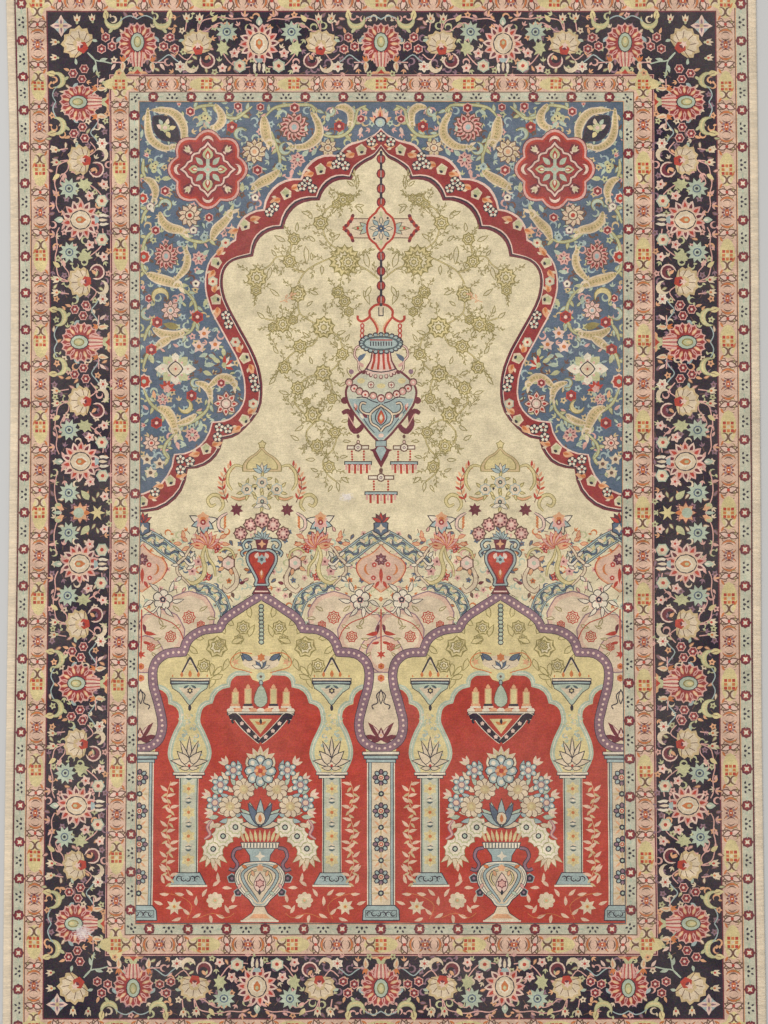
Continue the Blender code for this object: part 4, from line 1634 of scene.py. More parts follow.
def candle_tray(pen):
    """Candles on a tray over a dark garland."""
    pen.oval(6, 8, "ink", 8, y=-229)
    pen.oval(4, 6, "sky", 7, y=-229)
    pen.edged(curve([(0, -232), (-7, -244), (-8, -256), (0, -262), (8, -256), (7, -244)], 2, True),
        "celadon", "umber", 0.9)
    for x, top in ((-34, -241), (-17, -237), (17, -237), (34, -241)):
        pen.at(x, top - 2).leaf(8, 6, "apricot")
        pen.fill(box(9.6, 22, x, top - 11), "apricot")
        pen.fill(box(6.8, 20, x, top - 11), "lemon")
        pen.fill(box(12, 3, x, -259), "ink" if abs(x) < 20 else "apricot")
        pen.fill(box(14, 2.4, x, -262), "ivory")
    for k in range(9):
        pen.oval(11.4, 7.4, "apricot" if k % 2 else "ivory", 7, x=-40 + 10 * k, y=-266.5)
    pen.fill(box(90, 5, 0, -270.5), "ink")
    pen.fill(box(88, 1.9, 0, -269.6), "ivory")
    for half in pen.halves():
        half.line(curve([(-42, -276), (-34, -274), (-27, -282), (-20, -290), (-11, -299), (0, -309)], 3),
            10.5, "ivory", 0.3)
        half.line(curve([(-42, -276), (-34, -274), (-27, -282), (-20, -290), (-11, -299), (0, -309)], 3),
            8.6, "navy", 0.3)
        half.line(curve([(-30, -276), (-38, -280), (-36, -284)], 3), 3, "navy")
        for x, y in ((-25, -284), (-16, -294), (-7, -302)):
            half.at(x, y).fill(lobed(3.2, 5, 0.2, 2), "blush")
    pen.fill([(-15, -278), (15, -278), (0, -298)], "lemon")
    for turn in (-60, 0, 60):
        pen.at(0, -286, turn).leaf(9, 4, "orange" if turn else "navy")


def arch_tulip(pen, edge, fill):
    """A branching tulip in outline, for the bulb capitals."""
    for turn, length, width in ((0, 38, 5), (-16, 34, 5), (16, 34, 5), (-56, 23, 9), (56, 23, 9),
            (-30, 24, 10), (30, 24, 10)):
        pen.at(0, 0, turn).edged(leaf(length, width, -0.14 * turn, 5), fill, edge, 1.2)
    pen.edged(lobed(5.6, 5, 0.2, 2), fill, edge, 0.9)
    pen.dot(4, "brick", 6)
    for way in (-1, 1):
        pen.at(0, -3, 100 * way).edged(leaf(12, 5, 2 * way, 4), fill, edge, 0.9)


def side_column(pen):
    """A slim column with a moulded capital and a fretted base."""
    for width, y in ((41, -352), (34, -356.5)):
        pen.fill(box(width + 2, 4.6, 0, y), "ink")
        pen.fill(box(width, 2.6, 0, y + 0.3), "ivory")
    pen.fill(box(25.4, 128, 0, -422), "ivory")
    pen.fill(box(23.8, 128, 0, -422), "ink")
    pen.fill(box(21, 128, 0, -422), "celadon")
    pen.fill(box(17.4, 126, 0, -422), "guard_green")
    for y in (-372, -404, -436, -468):
        petal_flower(pen.at(0, y), 9.6, 6, "lemon", "orange", "straw")
        for way in (-1, 1):
            for rise, turn, yarn in ((12, 70, "teal"), (15, 60, "ivory"), (20, 110, "teal"),
                    (22, 120, "cream")):
                pen.at(2 * way, y + rise, turn * way).leaf(7, 2.8, yarn, steps=3)
    pen.edged([(-15, -486), (15, -486), (23, -501), (-23, -501)], "sky", "ink", 1.2)
    fretwork(pen.at(0, -493.5), 30, 9)
    pen.fill(box(51, 2.6, 0, -503), "ivory")


def fretwork(pen, width, height):
    """Small pale scrolls in a row."""
    count = max(int(width / 6), 3)
    for k in range(count):
        x = width * ((k + 0.5) / count - 0.5)
        pen.at(x, 0, 90 * (k % 4)).fill(crescent(height * 0.46, 1.8, 0, 270, 6), "ink")
        pen.dot(1.8, "teal", 4, x=x)


def tall_column(pen):
    """The wide column between the niches, with dark blossoms up its shaft."""
    for width, y in ((50, -324.5), (46, -330), (40, -335)):
        pen.fill(box(width, 5.4, 0, y), "ink")
        pen.fill(box(width - 2, 3.2, 0, y + 0.4), "ivory" if y > -327 else "sky")
    pen.fill(box(37, 192, 0, -433), "ivory")
    pen.fill(box(34, 192, 0, -433), "ink")
    pen.fill(box(31.4, 192, 0, -433), "sky")
    pen.fill(box(26, 192, 0, -433), "ink")
    pen.fill(box(24.6, 192, 0, -433), "cream")
    for k, y in enumerate((-357, -379, -402, -424, -447, -469, -491, -513)):
        if k % 2:
            for turn in range(0, 360, 45):
                pen.at(0, y, turn).at(0, 3).leaf(10, 3, "apricot" if turn % 90 else "straw")
            pen.at(0, y).dot(8.4, "ink", 8)
            pen.at(0, y).dot(3.8, "celadon", 6)
            continue
        for turn in range(0, 360, 45):
            pen.at(0, y, turn).at(0, 7.6).oval(7.4, 8.6, "ink", 7)
            pen.at(0, y, turn).at(0, 7.8).oval(4.2, 5.2, "sky" if turn % 90 else "mauve", 6)
        pen.at(0, y).dot(6, "brick", 6)
        pen.at(0, y).dot(3, "cream", 5)
    pen.edged([(-18, -530), (18, -530), (23, -536), (24, -549), (-24, -549), (-23, -536)], "sky", "ink",
        1.3)
    pen.edged(box(40, 8, 0, -541), "sky", "ink", 0.8)
    fretwork(pen.at(0, -541), 38, 8)


def great_bouquet(pen):
    """The tall vase of flowers in a niche."""
    for turn in (-54, -27, 0, 27, 54):
        pen.at(0, -338, turn).leaf(24, 9, "cream", steps=5)
        pen.at(0, -336, turn).leaf(17, 3.4, "lemon")
    for half in pen.halves():
        for reach, count in ((26, 6), (42, 9), (56, 11)):
            for k in range(count):
                spray = half.at(0, -398, 118 * (k + 0.5) / count).at(0, reach)
                spray.edged(leaf(15, 6.4, 2, 4), ("celadon", "cream", "sky")[k % 3],
                    "ink" if k % 3 == 2 else "umber", 0.6)
        for x, y, turn in ((-44, -340, 40), (-56, -362, 55), (-66, -382, 70), (-62, -404, 95),
                (-62, -416, 130)):
            for spread in (-30, 0, 30):
                half.at(x, y, turn + spread).leaf(13, 5, "cream" if spread else "blush")
        for turn in (130, 155, 180, 205, 230):
            half.at(-62, -456, turn).edged(leaf(24, 7, steps=4), "cream", "olive", 0.6)
        for x, y in ((-62, -453), (-49, -436), (-33, -424)):
            for reach, yarn in ((16, "olive"), (15, "ivory"), (10.5, "leaf"), (8.5, "ivory")):
                half.at(x, y).fill(lobed(reach, 9, 0.2, 3), yarn)
            half.dot(8.4, "ink", 8, x=x, y=y)
            half.dot(5, "celadon", 7, x=x, y=y)
        scroll_leaf(half, [(-64, -414), (-70, -424), (-66, -434), (-74, -440)], 2.4, "rose", "mauve")
        for x, y in ((-36, -347), (-53, -367), (-60, -391)):
            blue_blossom(half.at(x, y), 12.5)
        for x, y in ((-22, -373), (-40, -396)):
            for k in range(9):
                half.at(x, y, 40 * k).at(0, 8).edged(oval(8.4, 10, 0, 2, 7), "cream", "umber", 0.9)
            half.dot(13, "straw", 9, x=x, y=y)
            half.dot(6, "lemon", 7, x=x, y=y)
        for turn in (-20, -60):
            half.at(-8, -412, -turn).edged(leaf(22, 7, 2, 5), "celadon", "ink", 0.8)
    blue_blossom(pen.at(0, -348), 22)
    pen.dot(8, "apricot", 8, y=-348)
    for k in range(8):
        pen.at(0, -348, 45 * k).at(0, 5).oval(5.4, 7.4, "orange" if k % 2 else "apricot", 6)
    pen.dot(7, "brick", 7, y=-348)
    for turn, length, yarn in ((-74, 25, "cream"), (74, 25, "cream"), (-50, 32, "sky"), (50, 32, "sky"),
            (-25, 34, "steel"), (25, 34, "steel"), (0, 36, "sky")):
        pen.at(0, -423, turn).edged(leaf(length, 9.6, -0.05 * turn, 5), yarn, "ink", 1.1)
    pen.edged(oval(13, 17, 0, -412, 9), "cream", "ink", 0.9)
    pen.at(0, -418).leaf(12, 5, "orange")
    for k in range(9):
        pen.at(-20 + 5 * k, -444, 6 * (4 - k)).leaf(17, 4.2, "lemon" if k % 2 else "straw")


def blue_blossom(pen, radius):
    """A pale blue flower with dark-edged round petals."""
    for k in range(8 if radius > 15 else 6):
        count = 8 if radius > 15 else 6
        petal = pen.at(0, 0, 360 * k / count).at(0, radius * 0.6)
        petal.oval(radius * 0.68, radius * 0.84, "ink", 8)
        petal.oval(radius * 0.55, radius * 0.7, "sky", 8)
        petal.at(0, radius * 0.08).dot(radius * 0.3, "ivory", 6)
    pen.dot(radius * 0.8, "mauve", 9)
    pen.dot(radius * 0.56, "peach", 8)


def tall_vase(pen):
    """The pale vase with scrolled handles and dark line work."""
    for half in pen.halves():
        for width, yarn in ((5.4, "ink"), (3.2, "mauve")):
            half.line(curve([(-24, -452), (-33, -454), (-36, -464), (-30, -474), (-34, -482),
                (-41, -480)], 3), width, yarn)
        for x, y, radius in ((-37, -493, 7), (-29, -512, 6.4)):
            rosette(half.at(x, y), radius, 5, "ink", "sky", "mauve")
    pen.edged([(-25, -445), (25, -445), (23, -452), (-23, -452)], "ivory", "ink", 1.0)
    for k in range(11):
        pen.fill(box(1.6, 6.4, -21 + 4.2 * k, -448.5), "teal")
    pen.edged([(-19, -453), (19, -453), (13, -462), (12, -472), (-12, -472), (-13, -462)], "sky", "ink",
        1.0)
    pen.at(0, -463).fill(star(7, 3, 4), "ivory")
    body = curve([(-12, -471), (-24, -475), (-32, -486), (-32, -498), (-26, -510), (-14, -521),
        (-7, -530), (7, -530), (14, -521), (26, -510), (32, -498), (32, -486), (24, -475), (12, -471)],
        3, True)
    pen.edged(body, "ivory", "ink", 1.3)
    pen.fill(swell(body, -1.8), "sky")
    pen.fill(swell(body, -3.4), "cream")
    for half in pen.halves():
        scroll_leaf(half, [(-26, -481), (-30, -494), (-22, -509), (-11, -520)], 2.4, "ivory", "teal")
        scroll_leaf(half, [(-3, -475), (-13, -478), (-23, -487), (-20, -499), (-11, -512), (-2, -525)],
            3.2, "sky", "ink")
        scroll_leaf(half, [(-4, -482), (-12, -485), (-15, -494), (-9, -503)], 2.0, "lemon", "ink")
        for x, y, turn, yarn in ((-17, -479, 60, "orange"), (-25, -500, 150, "rose"),
                (-13, -511, 120, "celadon"), (-8, -490, 20, "apricot")):
            half.at(x, y, turn).edged(leaf(8.4, 4.4, steps=4), yarn, "ink", 0.5)
    pen.at(0, -513).edged(leaf(27, 15, steps=6), "blush", "ink", 1.0)
    pen.at(0, -500).fill(lobed(7, 6, 0.2, 2), "maroon")
    pen.at(0, -500).fill(lobed(5, 6, 0.2, 2), "rose")
    pen.at(0, -479).fill(lobed(5.4, 5, 0.2, 2), "apricot")
    pen.at(0, -516).leaf(9, 4, "ink")
    pen.edged([(-6, -531), (6, -531), (10, -540), (24, -550), (-24, -550), (-10, -540)], "cream", "ink",
        1.0)
    pen.fill([(-8, -541), (8, -541), (14, -547), (-14, -547)], "apricot")
    pen.fill(box(50, 2.2, 0, -550.5), "ivory")


def ground_sprigs(pen):
    """Thin leafy sprigs beside the columns and blossoms on the floor of a niche."""
    for half in pen.halves():
        for axis in (-119,):
            for top, length in ((-362, 42), (-410, 42), (-450, 46)):
                stem = curve([(axis, top), (axis - 5, top - length * 0.5), (axis + 2, top - length)], 3)
                half.line(stem, 0.9, "apricot")
                for i in range(1, len(stem)):
                    side = -1 if i % 2 else 1
                    half.at(stem[i].real, stem[i].imag, 60 * side).leaf(12.5, 4.8, "peach", 2.5)
                    half.at(stem[i].real, stem[i].imag - 3, 130 * side).leaf(9, 3.6, "straw", 1.5)
        for x, y, turn in ((-124, -484, 60), (-126, -500, 30), (-120, -514, 100), (-100, -515, 90),
                (-88, -516, 60), (-84, -530, 10), (-78, -540, 130), (-92, -542, 60), (-76, -518, -20),
                (-66, -542, 200), (-36, -526, 0), (-40, -540, 40), (-42, -534, -60), (-54, -498, 20),
                (-62, -504, -40), (-50, -506, -80), (-128, -528, 80), (-104, -546, 120), (-58, -484, 10),
                (-46, -546, 80)):
            half.at(x, y, turn).leaf(13, 4.8, "peach", 2.5)
        half.line(curve([(-126, -512), (-104, -518), (-90, -530), (-96, -548)], 3), 0.9, "orange")
        half.line(curve([(-80, -546), (-62, -540), (-44, -546), (-34, -540)], 3), 0.9, "orange")
        for k in range(8):
            half.at(-59, -523, 45 * k).at(0, 5).oval(8, 9.6, "cream", 7, y=2)
        half.dot(7, "leaf", 8, x=-59, y=-523)
        half.dot(4, "apricot", 6, x=-59, y=-523)
        half.at(-113, -531).fill(star(12, 6.5, 7), "cream")
        half.at(-113, -531).dot(7, "lemon", 7)
        half.at(-113, -531).dot(4, "orange", 6)


def arch_niche(pen):
    """One arch of the arcade with everything that stands and hangs in it."""
    path = arch_line()
    pen.fill(path + [complex(166, -350), complex(-166, -350)], "lemon")
    middle, strip = niche_openings()
    pen.fill(middle, "brick")
    for half in pen.halves():
        half.fill(strip, "brick")
        for points in green_lining():
            half.line(points, 6.4, "celadon")
            half.line(points, 0.9, "ivory")
        for x, y, radius in ((-59, -181, 14.5), (-56, -178, 7), (-24, -155, 10), (-76, -206, 10),
                (-30, -171, 7)):
            drawn_flower(half.at(x, y), radius, 7, "olive", "lemon")
        for x, y, turn in ((-66, -202, 190), (-52, -206, 150), (-84, -190, 60), (-44, -196, 170),
                (-40, -176, -60), (-36, -152, 60), (-16, -168, -10), (-14, -142, 20), (-48, -164, 30),
                (-76, -170, 80), (-28, -184, 160), (-90, -206, 40), (-62, -220, 170), (-50, -218, 120)):
            drawn_leaf(half.at(x, y, turn), 19, 8.4, 4, "olive", "lemon")
        lamp_bowl(half.at(-94.6, 0))
        strewn(half, (-106, -84, -345, -268), None, 6.5, 5, ("celadon", "cream", "sky"), "leaf", 9)
        arch_tulip(half.at(-94.6, -341), "ink", "cream")
        side_column(half.at(-95, 0))
        half.line(curve([(-12, -190), (-30, -189), (-40, -198), (-38, -208), (-22, -213), (-12, -216)],
            3), 1.4, "orange")
        half.at(-14, -203, 60).edged(leaf(16, 7, 3, 5), "steel", "ink", 0.9)
        half.at(-34, -201, 90).fill(star(6, 2.6, 5), "apricot")
    pen.at(0, -202).oval(50, 20, "cream", 12)
    for turn in (-70, -35, 0, 35, 70):
        pen.at(0, -210, turn).edged(leaf(12, 4.4, 0, 4), "steel" if turn % 70 else "ivory", "ink", 0.7)
    for half in pen.halves():
        half.at(-12, -198, 70).edged(leaf(15, 6, 3, 5), "steel", "ink", 0.9)
    pen.at(0, -195).fill(lobed(6, 6, 0.2, 2), "orange")
    pen.at(0, -183).fill(lobed(8, 5, 0.2, 2), "lemon")
    pen.at(0, -221).dot(12, "celadon", 9)
    pen.at(0, -221).dot(4, "umber", 6)
    for k in range(10):
        pen.oval(8, 7.4, "ink", 8, y=-126 - 5.4 * k)
        pen.oval(5.6, 4.6, "celadon", 7, y=-126 - 5.4 * k)
    candle_tray(pen)
    great_bouquet(pen)
    tall_vase(pen)
    ground_sprigs(pen)
    pen.line(path, 13, "ink")
    pen.line(path, 11.2, "mauve")
    for x, y, _ in stations(path, 7.2):
        pen.at(x, y).dot(3.7, "blush", 6)


def green_lining():
    """The green lining along the lower edge of the pale tympanum and round its bulbs."""
    outer = scallops([(-137, -234), (-120, -255), (-105.5, -273)], 0.2, 4)[:-1]
    outer += [z + 3 for z in curve(BULB_OUTER_SIDE, 3)]
    inner = [z - 3 for z in curve(BULB_INNER_SIDE, 3)[:-1]]
    inner += [z + complex(-2.4, 2.4) for z in scallops(LOBE_CORNERS, 0.2, 4)] + [complex(-15, -216)]
    return outer, inner


def bulb_panel(pen):
    """The pale bulb between two arches, with its tulip and pendants."""
    left = [(-29, -240), (-30, -281), (-28, -300), (-20, -313), (0, -318)]
    pen.fill(left + [(-x, y) for x, y in left[-2::-1]], "cream")
    for turn, length in ((-60, 25), (60, 25), (-28, 30), (28, 30), (0, 18)):
        pen.at(0, -307, turn).leaf(length, 8.4, "maroon", -0.14 * turn, 5)
        pen.at(0, -303, turn).leaf(length * 0.62, 2.8, "blush", -0.07 * turn)
    for way in (-1, 1):
        pen.at(0, -306, 95 * way).leaf(17, 6, "maroon", -3 * way, 5)
    pen.at(0, -300).dot(7, "blush", 7)
    pen.at(0, -300).dot(3.4, "apricot", 5)
    for half in pen.halves():
        half.line(curve([(0, -240), (-6, -246), (-4, -256), (-12, -260), (-10, -265)], 3), 1.6, "ink")
        half.line(curve([(0, -238), (-3, -248), (0, -258)], 3), 1.3, "ink")
        half.at(-3, -160, 120).leaf(17, 6, "brick", 5, 5)
        half.at(-2, -150, 150).leaf(13, 5, "maroon", -4, 5)
        half.at(-2, -174, 115).leaf(11, 4.4, "brick", 3, 5)
        half.line(curve([(-3, -128), (-20, -140), (-40, -148), (-52, -160), (-58, -178)], 3), 1.4,
            "brick")
        for x, y, turn in ((-14, -188, 140), (-16, -170, 100), (-24, -156, 80)):
            drawn_leaf(half.at(x, y, turn), 11, 4.4, 2, "olive", "cream")
    pen.line([(0, -130), (0, -185)], 1.8, "brick")
    for y, radius in ((-207, 6), (-223, 6.4)):
        rosette(pen.at(0, y), radius, 6, "orange", "blush", "brick")
    pen.at(0, -191).fill(star(7, 3, 6), "brick")


def draw_arcade(pen):
    pen.fill(box(2 * FIELD_HALF[0] + 4, 246, 0, -430), "brick")
    for half in pen.halves():
        strewn(half, (-322, -4, -152, -22), None, 12.5, 7.6, ("rose", "orange", "celadon", "leaf",
            "steel"), "umber", 5)
    for place in (-ARCH_AXIS, ARCH_AXIS):
        blue_arcs(pen.at(place, 0))
    for place in (-2 * ARCH_AXIS, 0, 2 * ARCH_AXIS):
        crest(pen.at(place, 0))
        bulb_panel(pen.at(place, 0))
    for place in (-ARCH_AXIS, ARCH_AXIS):
        arch_niche(pen.at(place, 0))
        bouquet(pen.at(place, 0))
    for place in (-2 * ARCH_AXIS, 0, 2 * ARCH_AXIS):
        tall_column(pen.at(place, 0))


def draw_spandrels(pen):
    covered = under_arch(arch_outline())
    for half in pen.halves():
        strewn(half, (-322, -4, 52, 551), covered, 12.5, 8.6,
            ("leaf", "celadon", "rose", "straw", "sky", "umber"), "teal", 7)
        spandrel_vines(half)
        spandrel_flowers(half)
    crown_palmette(pen.at(-1, 533))


def draw_field(pen):
    pen.fill(box(2 * FIELD_HALF[0], 2 * FIELD_HALF[1]), "steel")
    draw_spandrels(pen)
    draw_niche(pen)
    draw_niche_field(pen)
    draw_arcade(pen)
    for half in pen.halves():
        draw_niche_band(half)


def drawn_borders():
    shapes = []
    draw_bands(Pen(shapes))
    draw_guards(Pen(shapes))
    draw_main_border(Pen(shapes))
    return shapes


def drawn_field():
    """What is drawn inside the borders, with the field's own ground first."""
    shapes = []
    draw_field(Pen(shapes))
    return shapes


# Knotting


PATTERN_SIDE = FIELD_HALF[0] + sum(width for _, width in band_places().values())
PATTERN_END = FIELD_HALF[1] + sum(width for _, width in band_places().values())

# The parts of the pile from the lower end up, each with the row where it starts
PILE_PARTS = (
    ("pile_lower_border", -PATTERN_END), ("pile_floor", -557.5), ("pile_vases", -450.0),
    ("pile_arches", -330.0), ("pile_crests", -150.0), ("pile_bouquets", -60.0), ("pile_lamp", 30.0),
    ("pile_waist", 170.0), ("pile_spandrels", 300.0), ("pile_crown", 430.0), ("pile_upper_border", 557.5),
)

# What is woven on or sewn to a part of the pile
JOINED_PIECES = {"pile_lower_border": ["woven_end_lower"], "pile_lamp": ["overcasting_left",
    "overcasting_right"], "pile_upper_border": ["woven_end_upper"]}

Shape = namedtuple("Shape", "outline dye bounds area in_field is_field")
Patch = namedtuple("Patch", "places triangles dyes origins")


def pile_rows():
    """Each part of the pile with the rows where it starts and ends."""
    stops = [low for _, low in PILE_PARTS[1:]] + [PATTERN_END]
    return [(name, low, high) for (name, low), high in zip(PILE_PARTS, stops)]


def twice_area(points):
    return sum((points[i - 1].conjugate() * points[i]).imag for i in range(len(points)))


def long_edges_cut(points, longest):
    """The same outline with points added along its long sides, so that they can follow the rug."""
    made = []
    for i, start in enumerate(points):
        end = points[(i + 1) % len(points)]
        count = max(1, math.ceil(abs(end - start) / longest))
        made.extend(start + (end - start) * k / count for k in range(count))
    return made


def hand_drawn(point):
    """A drawn point as a weaver's rows place it, a little off its true place."""
    at = Vector((point.real / WOBBLE_SIZE, point.imag / WOBBLE_SIZE, 0.0))
    shift = noise.noise_vector(at)
    return complex(point.real + HAND_WOBBLE * shift.x, point.imag + HAND_WOBBLE * shift.y)


def cleaned(points):
    """The outline anticlockwise, without points that lie on top of each other."""
    kept = [z for i, z in enumerate(points) if abs(z - points[i - 1]) > SMALLEST_STEP]
    return kept if len(kept) > 2 and twice_area(kept) > 0 else kept[::-1]


def dyed_shapes(drawn, in_field, yarns, tone_spread):
    """Every drawn shape as the weaver would place it, each in its own slightly different dye."""
    draw = random.Random(TONE_SEED)
    noise.seed_set(WOBBLE_SEED)
    made = []
    for points, yarn in drawn:
        is_field = in_field and not made
        dye = yarns[yarn] * (1 + draw.uniform(-tone_spread, tone_spread))
        outline = cleaned([hand_drawn(z) for z in long_edges_cut(points, LONGEST_EDGE)])
        if len(outline) < 3:
            continue
        across, along = [z.real for z in outline], [z.imag for z in outline]
        bounds = (min(across), max(across), min(along), max(along))
        made.append(Shape(outline, dye, bounds, twice_area(outline) / 2, in_field, is_field))
    return made


def topmost(covering, middle, shapes):
    """The last drawn of the shapes that reach a place; what belongs to the field shows only there."""
    own = [shapes[source - 1] for source in sorted(covering, reverse=True) if source]
    in_field = any(shape.is_field for shape in own)
    for shape in own:
        left, right, low, high = shape.bounds
        if shape.in_field <= in_field and left <= middle.x <= right and low <= middle.y <= high:
            return shape
    return shapes[0]


def cut_up(rim, shapes):
    """The area inside a rim cut along every shape, with the dye of the topmost one in each triangle."""
    points, outlines = [], []
    for outline in [rim] + [shape.outline for shape in shapes]:
        outlines.append(list(range(len(points), len(points) + len(outline))))
        points.extend(Vector((z.real, z.imag)) for z in outline)
    places, _, pieces, origins, _, sources = delaunay_2d_cdt(points, [], outlines, 1, JOINED_WITHIN, True)
    triangles, dyes = [], []
    for corners, covering in zip(pieces, sources):
        if 0 in covering:
            middle = (places[corners[0]] + places[corners[1]] + places[corners[2]]) / 3
            triangles.append(corners)
            dyes.append(topmost(covering, middle, shapes).dye)
    return Patch(places, triangles, dyes, origins)


def rim_of(triangles):
    """The outer edge of a patch of anticlockwise triangles, as its points in order."""
    ways = {(corners[i - 1], corners[i]) for corners in triangles for i in range(3)}
    following = {start: end for start, end in ways if (end, start) not in ways}
    rim = [min(following)]
    while following[rim[-1]] != rim[0]:
        rim.append(following[rim[-1]])
    return rim


def knotted_part(name, low, high, shapes):
    """One closed slab of the rug between two rows: the whole drawing on top, its larger shapes underneath."""
    near = [shape for shape in shapes if shape.bounds[3] > low and shape.bounds[2] < high]
    sides = [complex(x, y) for x, y in ((-PATTERN_SIDE, low), (PATTERN_SIDE, low), (PATTERN_SIDE, high),
        (-PATTERN_SIDE, high))]
    front = cut_up(long_edges_cut(sides, LONGEST_EDGE), near)
    rim = rim_of(front.triangles)
    edge = [complex(front.places[i].x, front.places[i].y) for i in rim]
    back = cut_up(edge, [shape for shape in near if shape.area > BACK_SMALLEST_AREA])
    under = {first: place for place, own in enumerate(back.origins) for first in own if first < len(rim)}
    if len(under) != len(rim) or len(rim_of(back.triangles)) != len(rim):
        back, under = front, dict(enumerate(rim))
    count = len(front.places)
    faces = list(front.triangles) + [[count + i for i in reversed(corners)] for corners in back.triangles]
    dyes = front.dyes + [dye * BACK_TONE for dye in back.dyes]
    for i, end in enumerate(rim):
        start, start_under, end_under = rim[i - 1], count + under[(i - 1) % len(rim)], count + under[i]
        faces += [[end, start, start_under], [end, start_under, end_under]]
        dyes += [back.dyes[0]] * 2
    points = [(*laid(p.x, p.y), PILE_TOP / MM) for p in front.places]
    points += [(*laid(p.x, p.y), 0.0) for p in back.places]
    return dyed_mesh(name, np.array(points) * MM, np.array(faces, dtype=np.int32), np.array(dyes))


def dyed_mesh(name, points, faces, dyes):
    """A mesh of the points that its faces use, with each face's dye on its corners."""
    used, faces = np.unique(faces, return_inverse=True)
    mesh = bpy.data.meshes.new(name)
    mesh.from_pydata(points[used].tolist(), [], faces.reshape(-1, 3).tolist())
    dye = mesh.color_attributes.new("dye", "FLOAT_COLOR", "CORNER")
    corners = np.repeat(np.column_stack([dyes, np.ones(len(dyes))]), 3, axis=0)
    dye.data.foreach_set("color", corners.astype(np.float32).ravel())
    mesh.update()
    return shown(name, mesh)


def shown(name, data):
    made = bpy.data.objects.new(name, data)
    bpy.context.scene.collection.objects.link(made)
    return made


# Finishes

WORN_PALE = (0.62, 0.50, 0.38, 1.0)
SMEAR_PALE = (0.78, 0.70, 0.66, 1.0)
# Where the pile is worn white: middle and half size, in metres
SMEARS = ((-0.0513, 0.0212, 0.0090, 0.0055), (-0.4077, -0.5661, 0.0120, 0.0100))


def node(tree, kind, inputs=None, **settings):
    """A new node with its settings made and its inputs set to a value or joined to an output."""
    made = tree.nodes.new(kind)
    for name, value in settings.items():
        setattr(made, name, value)
    for name, value in (inputs or {}).items():
        if isinstance(value, bpy.types.NodeSocket):
            tree.links.new(value, made.inputs[name])
        else:
            made.inputs[name].default_value = value
    return made


def result(tree, kind, inputs=None, **settings):
    """The first output of a new node."""
    return node(tree, kind, inputs, **settings).outputs[0]


def new_finish(name, roughness, sheen):
    """A material with its nodes, and the shader that they feed."""
    made = bpy.data.materials.new(name)
    made.use_nodes = True
    shader = made.node_tree.nodes["Principled BSDF"]
    shader.inputs["Roughness"].default_value = roughness
    shader.inputs["Sheen Weight"].default_value = sheen
    shader.inputs["Sheen Roughness"].default_value = 0.4
    return made, made.node_tree, shader


def stretched(tree, place, scale, move=(0.0, 0.0, 0.0)):
    """The object's own coordinates, stretched and moved for a pattern."""
    return result(tree, "ShaderNodeMapping", {"Vector": place, "Scale": scale, "Location": move})


def varied(tree, place, size, detail, lowest, highest):
    """Soft noise as a factor between two values."""
    soft = result(tree, "ShaderNodeTexNoise", {"Vector": place, "Scale": size, "Detail": detail})
    inputs = {"Value": soft, "From Min": 0.3, "From Max": 0.7, "To Min": lowest, "To Max": highest}
    return result(tree, "ShaderNodeMapRange", inputs)


def times(tree, first, second):
    return result(tree, "ShaderNodeMath", {0: first, 1: second}, operation="MULTIPLY")


def tinted(tree, share, under, over):
    """One colour laid over another by a share."""
    mixed = node(tree, "ShaderNodeMix", {"Factor": share}, data_type="RGBA")
    for socket, value in ((mixed.inputs[6], under), (mixed.inputs[7], over)):
        if isinstance(value, bpy.types.NodeSocket):
            tree.links.new(value, socket)
        else:
            socket.default_value = value
    return mixed.outputs[2]


def smear_share(tree, place, smear):
    """How far a ragged worn spot covers a place."""
    x, y, half_x, half_y = smear
    scaled = stretched(tree, place, (1 / half_x, 1 / half_y, 0.0), (-x / half_x, -y / half_y, 0.0))
    away = node(tree, "ShaderNodeVectorMath", {0: scaled}, operation="LENGTH").outputs["Value"]
    ragged = varied(tree, stretched(tree, place, (260.0, 520.0, 1.0)), 1.0, 2.0, -0.5, 0.5)
    edge = result(tree, "ShaderNodeMath", {0: away, 1: ragged}, operation="ADD")
    inputs = {"Value": edge, "From Min": 1.1, "From Max": 0.5, "To Min": 0.0, "To Max": 0.75}
    return result(tree, "ShaderNodeMapRange", inputs)


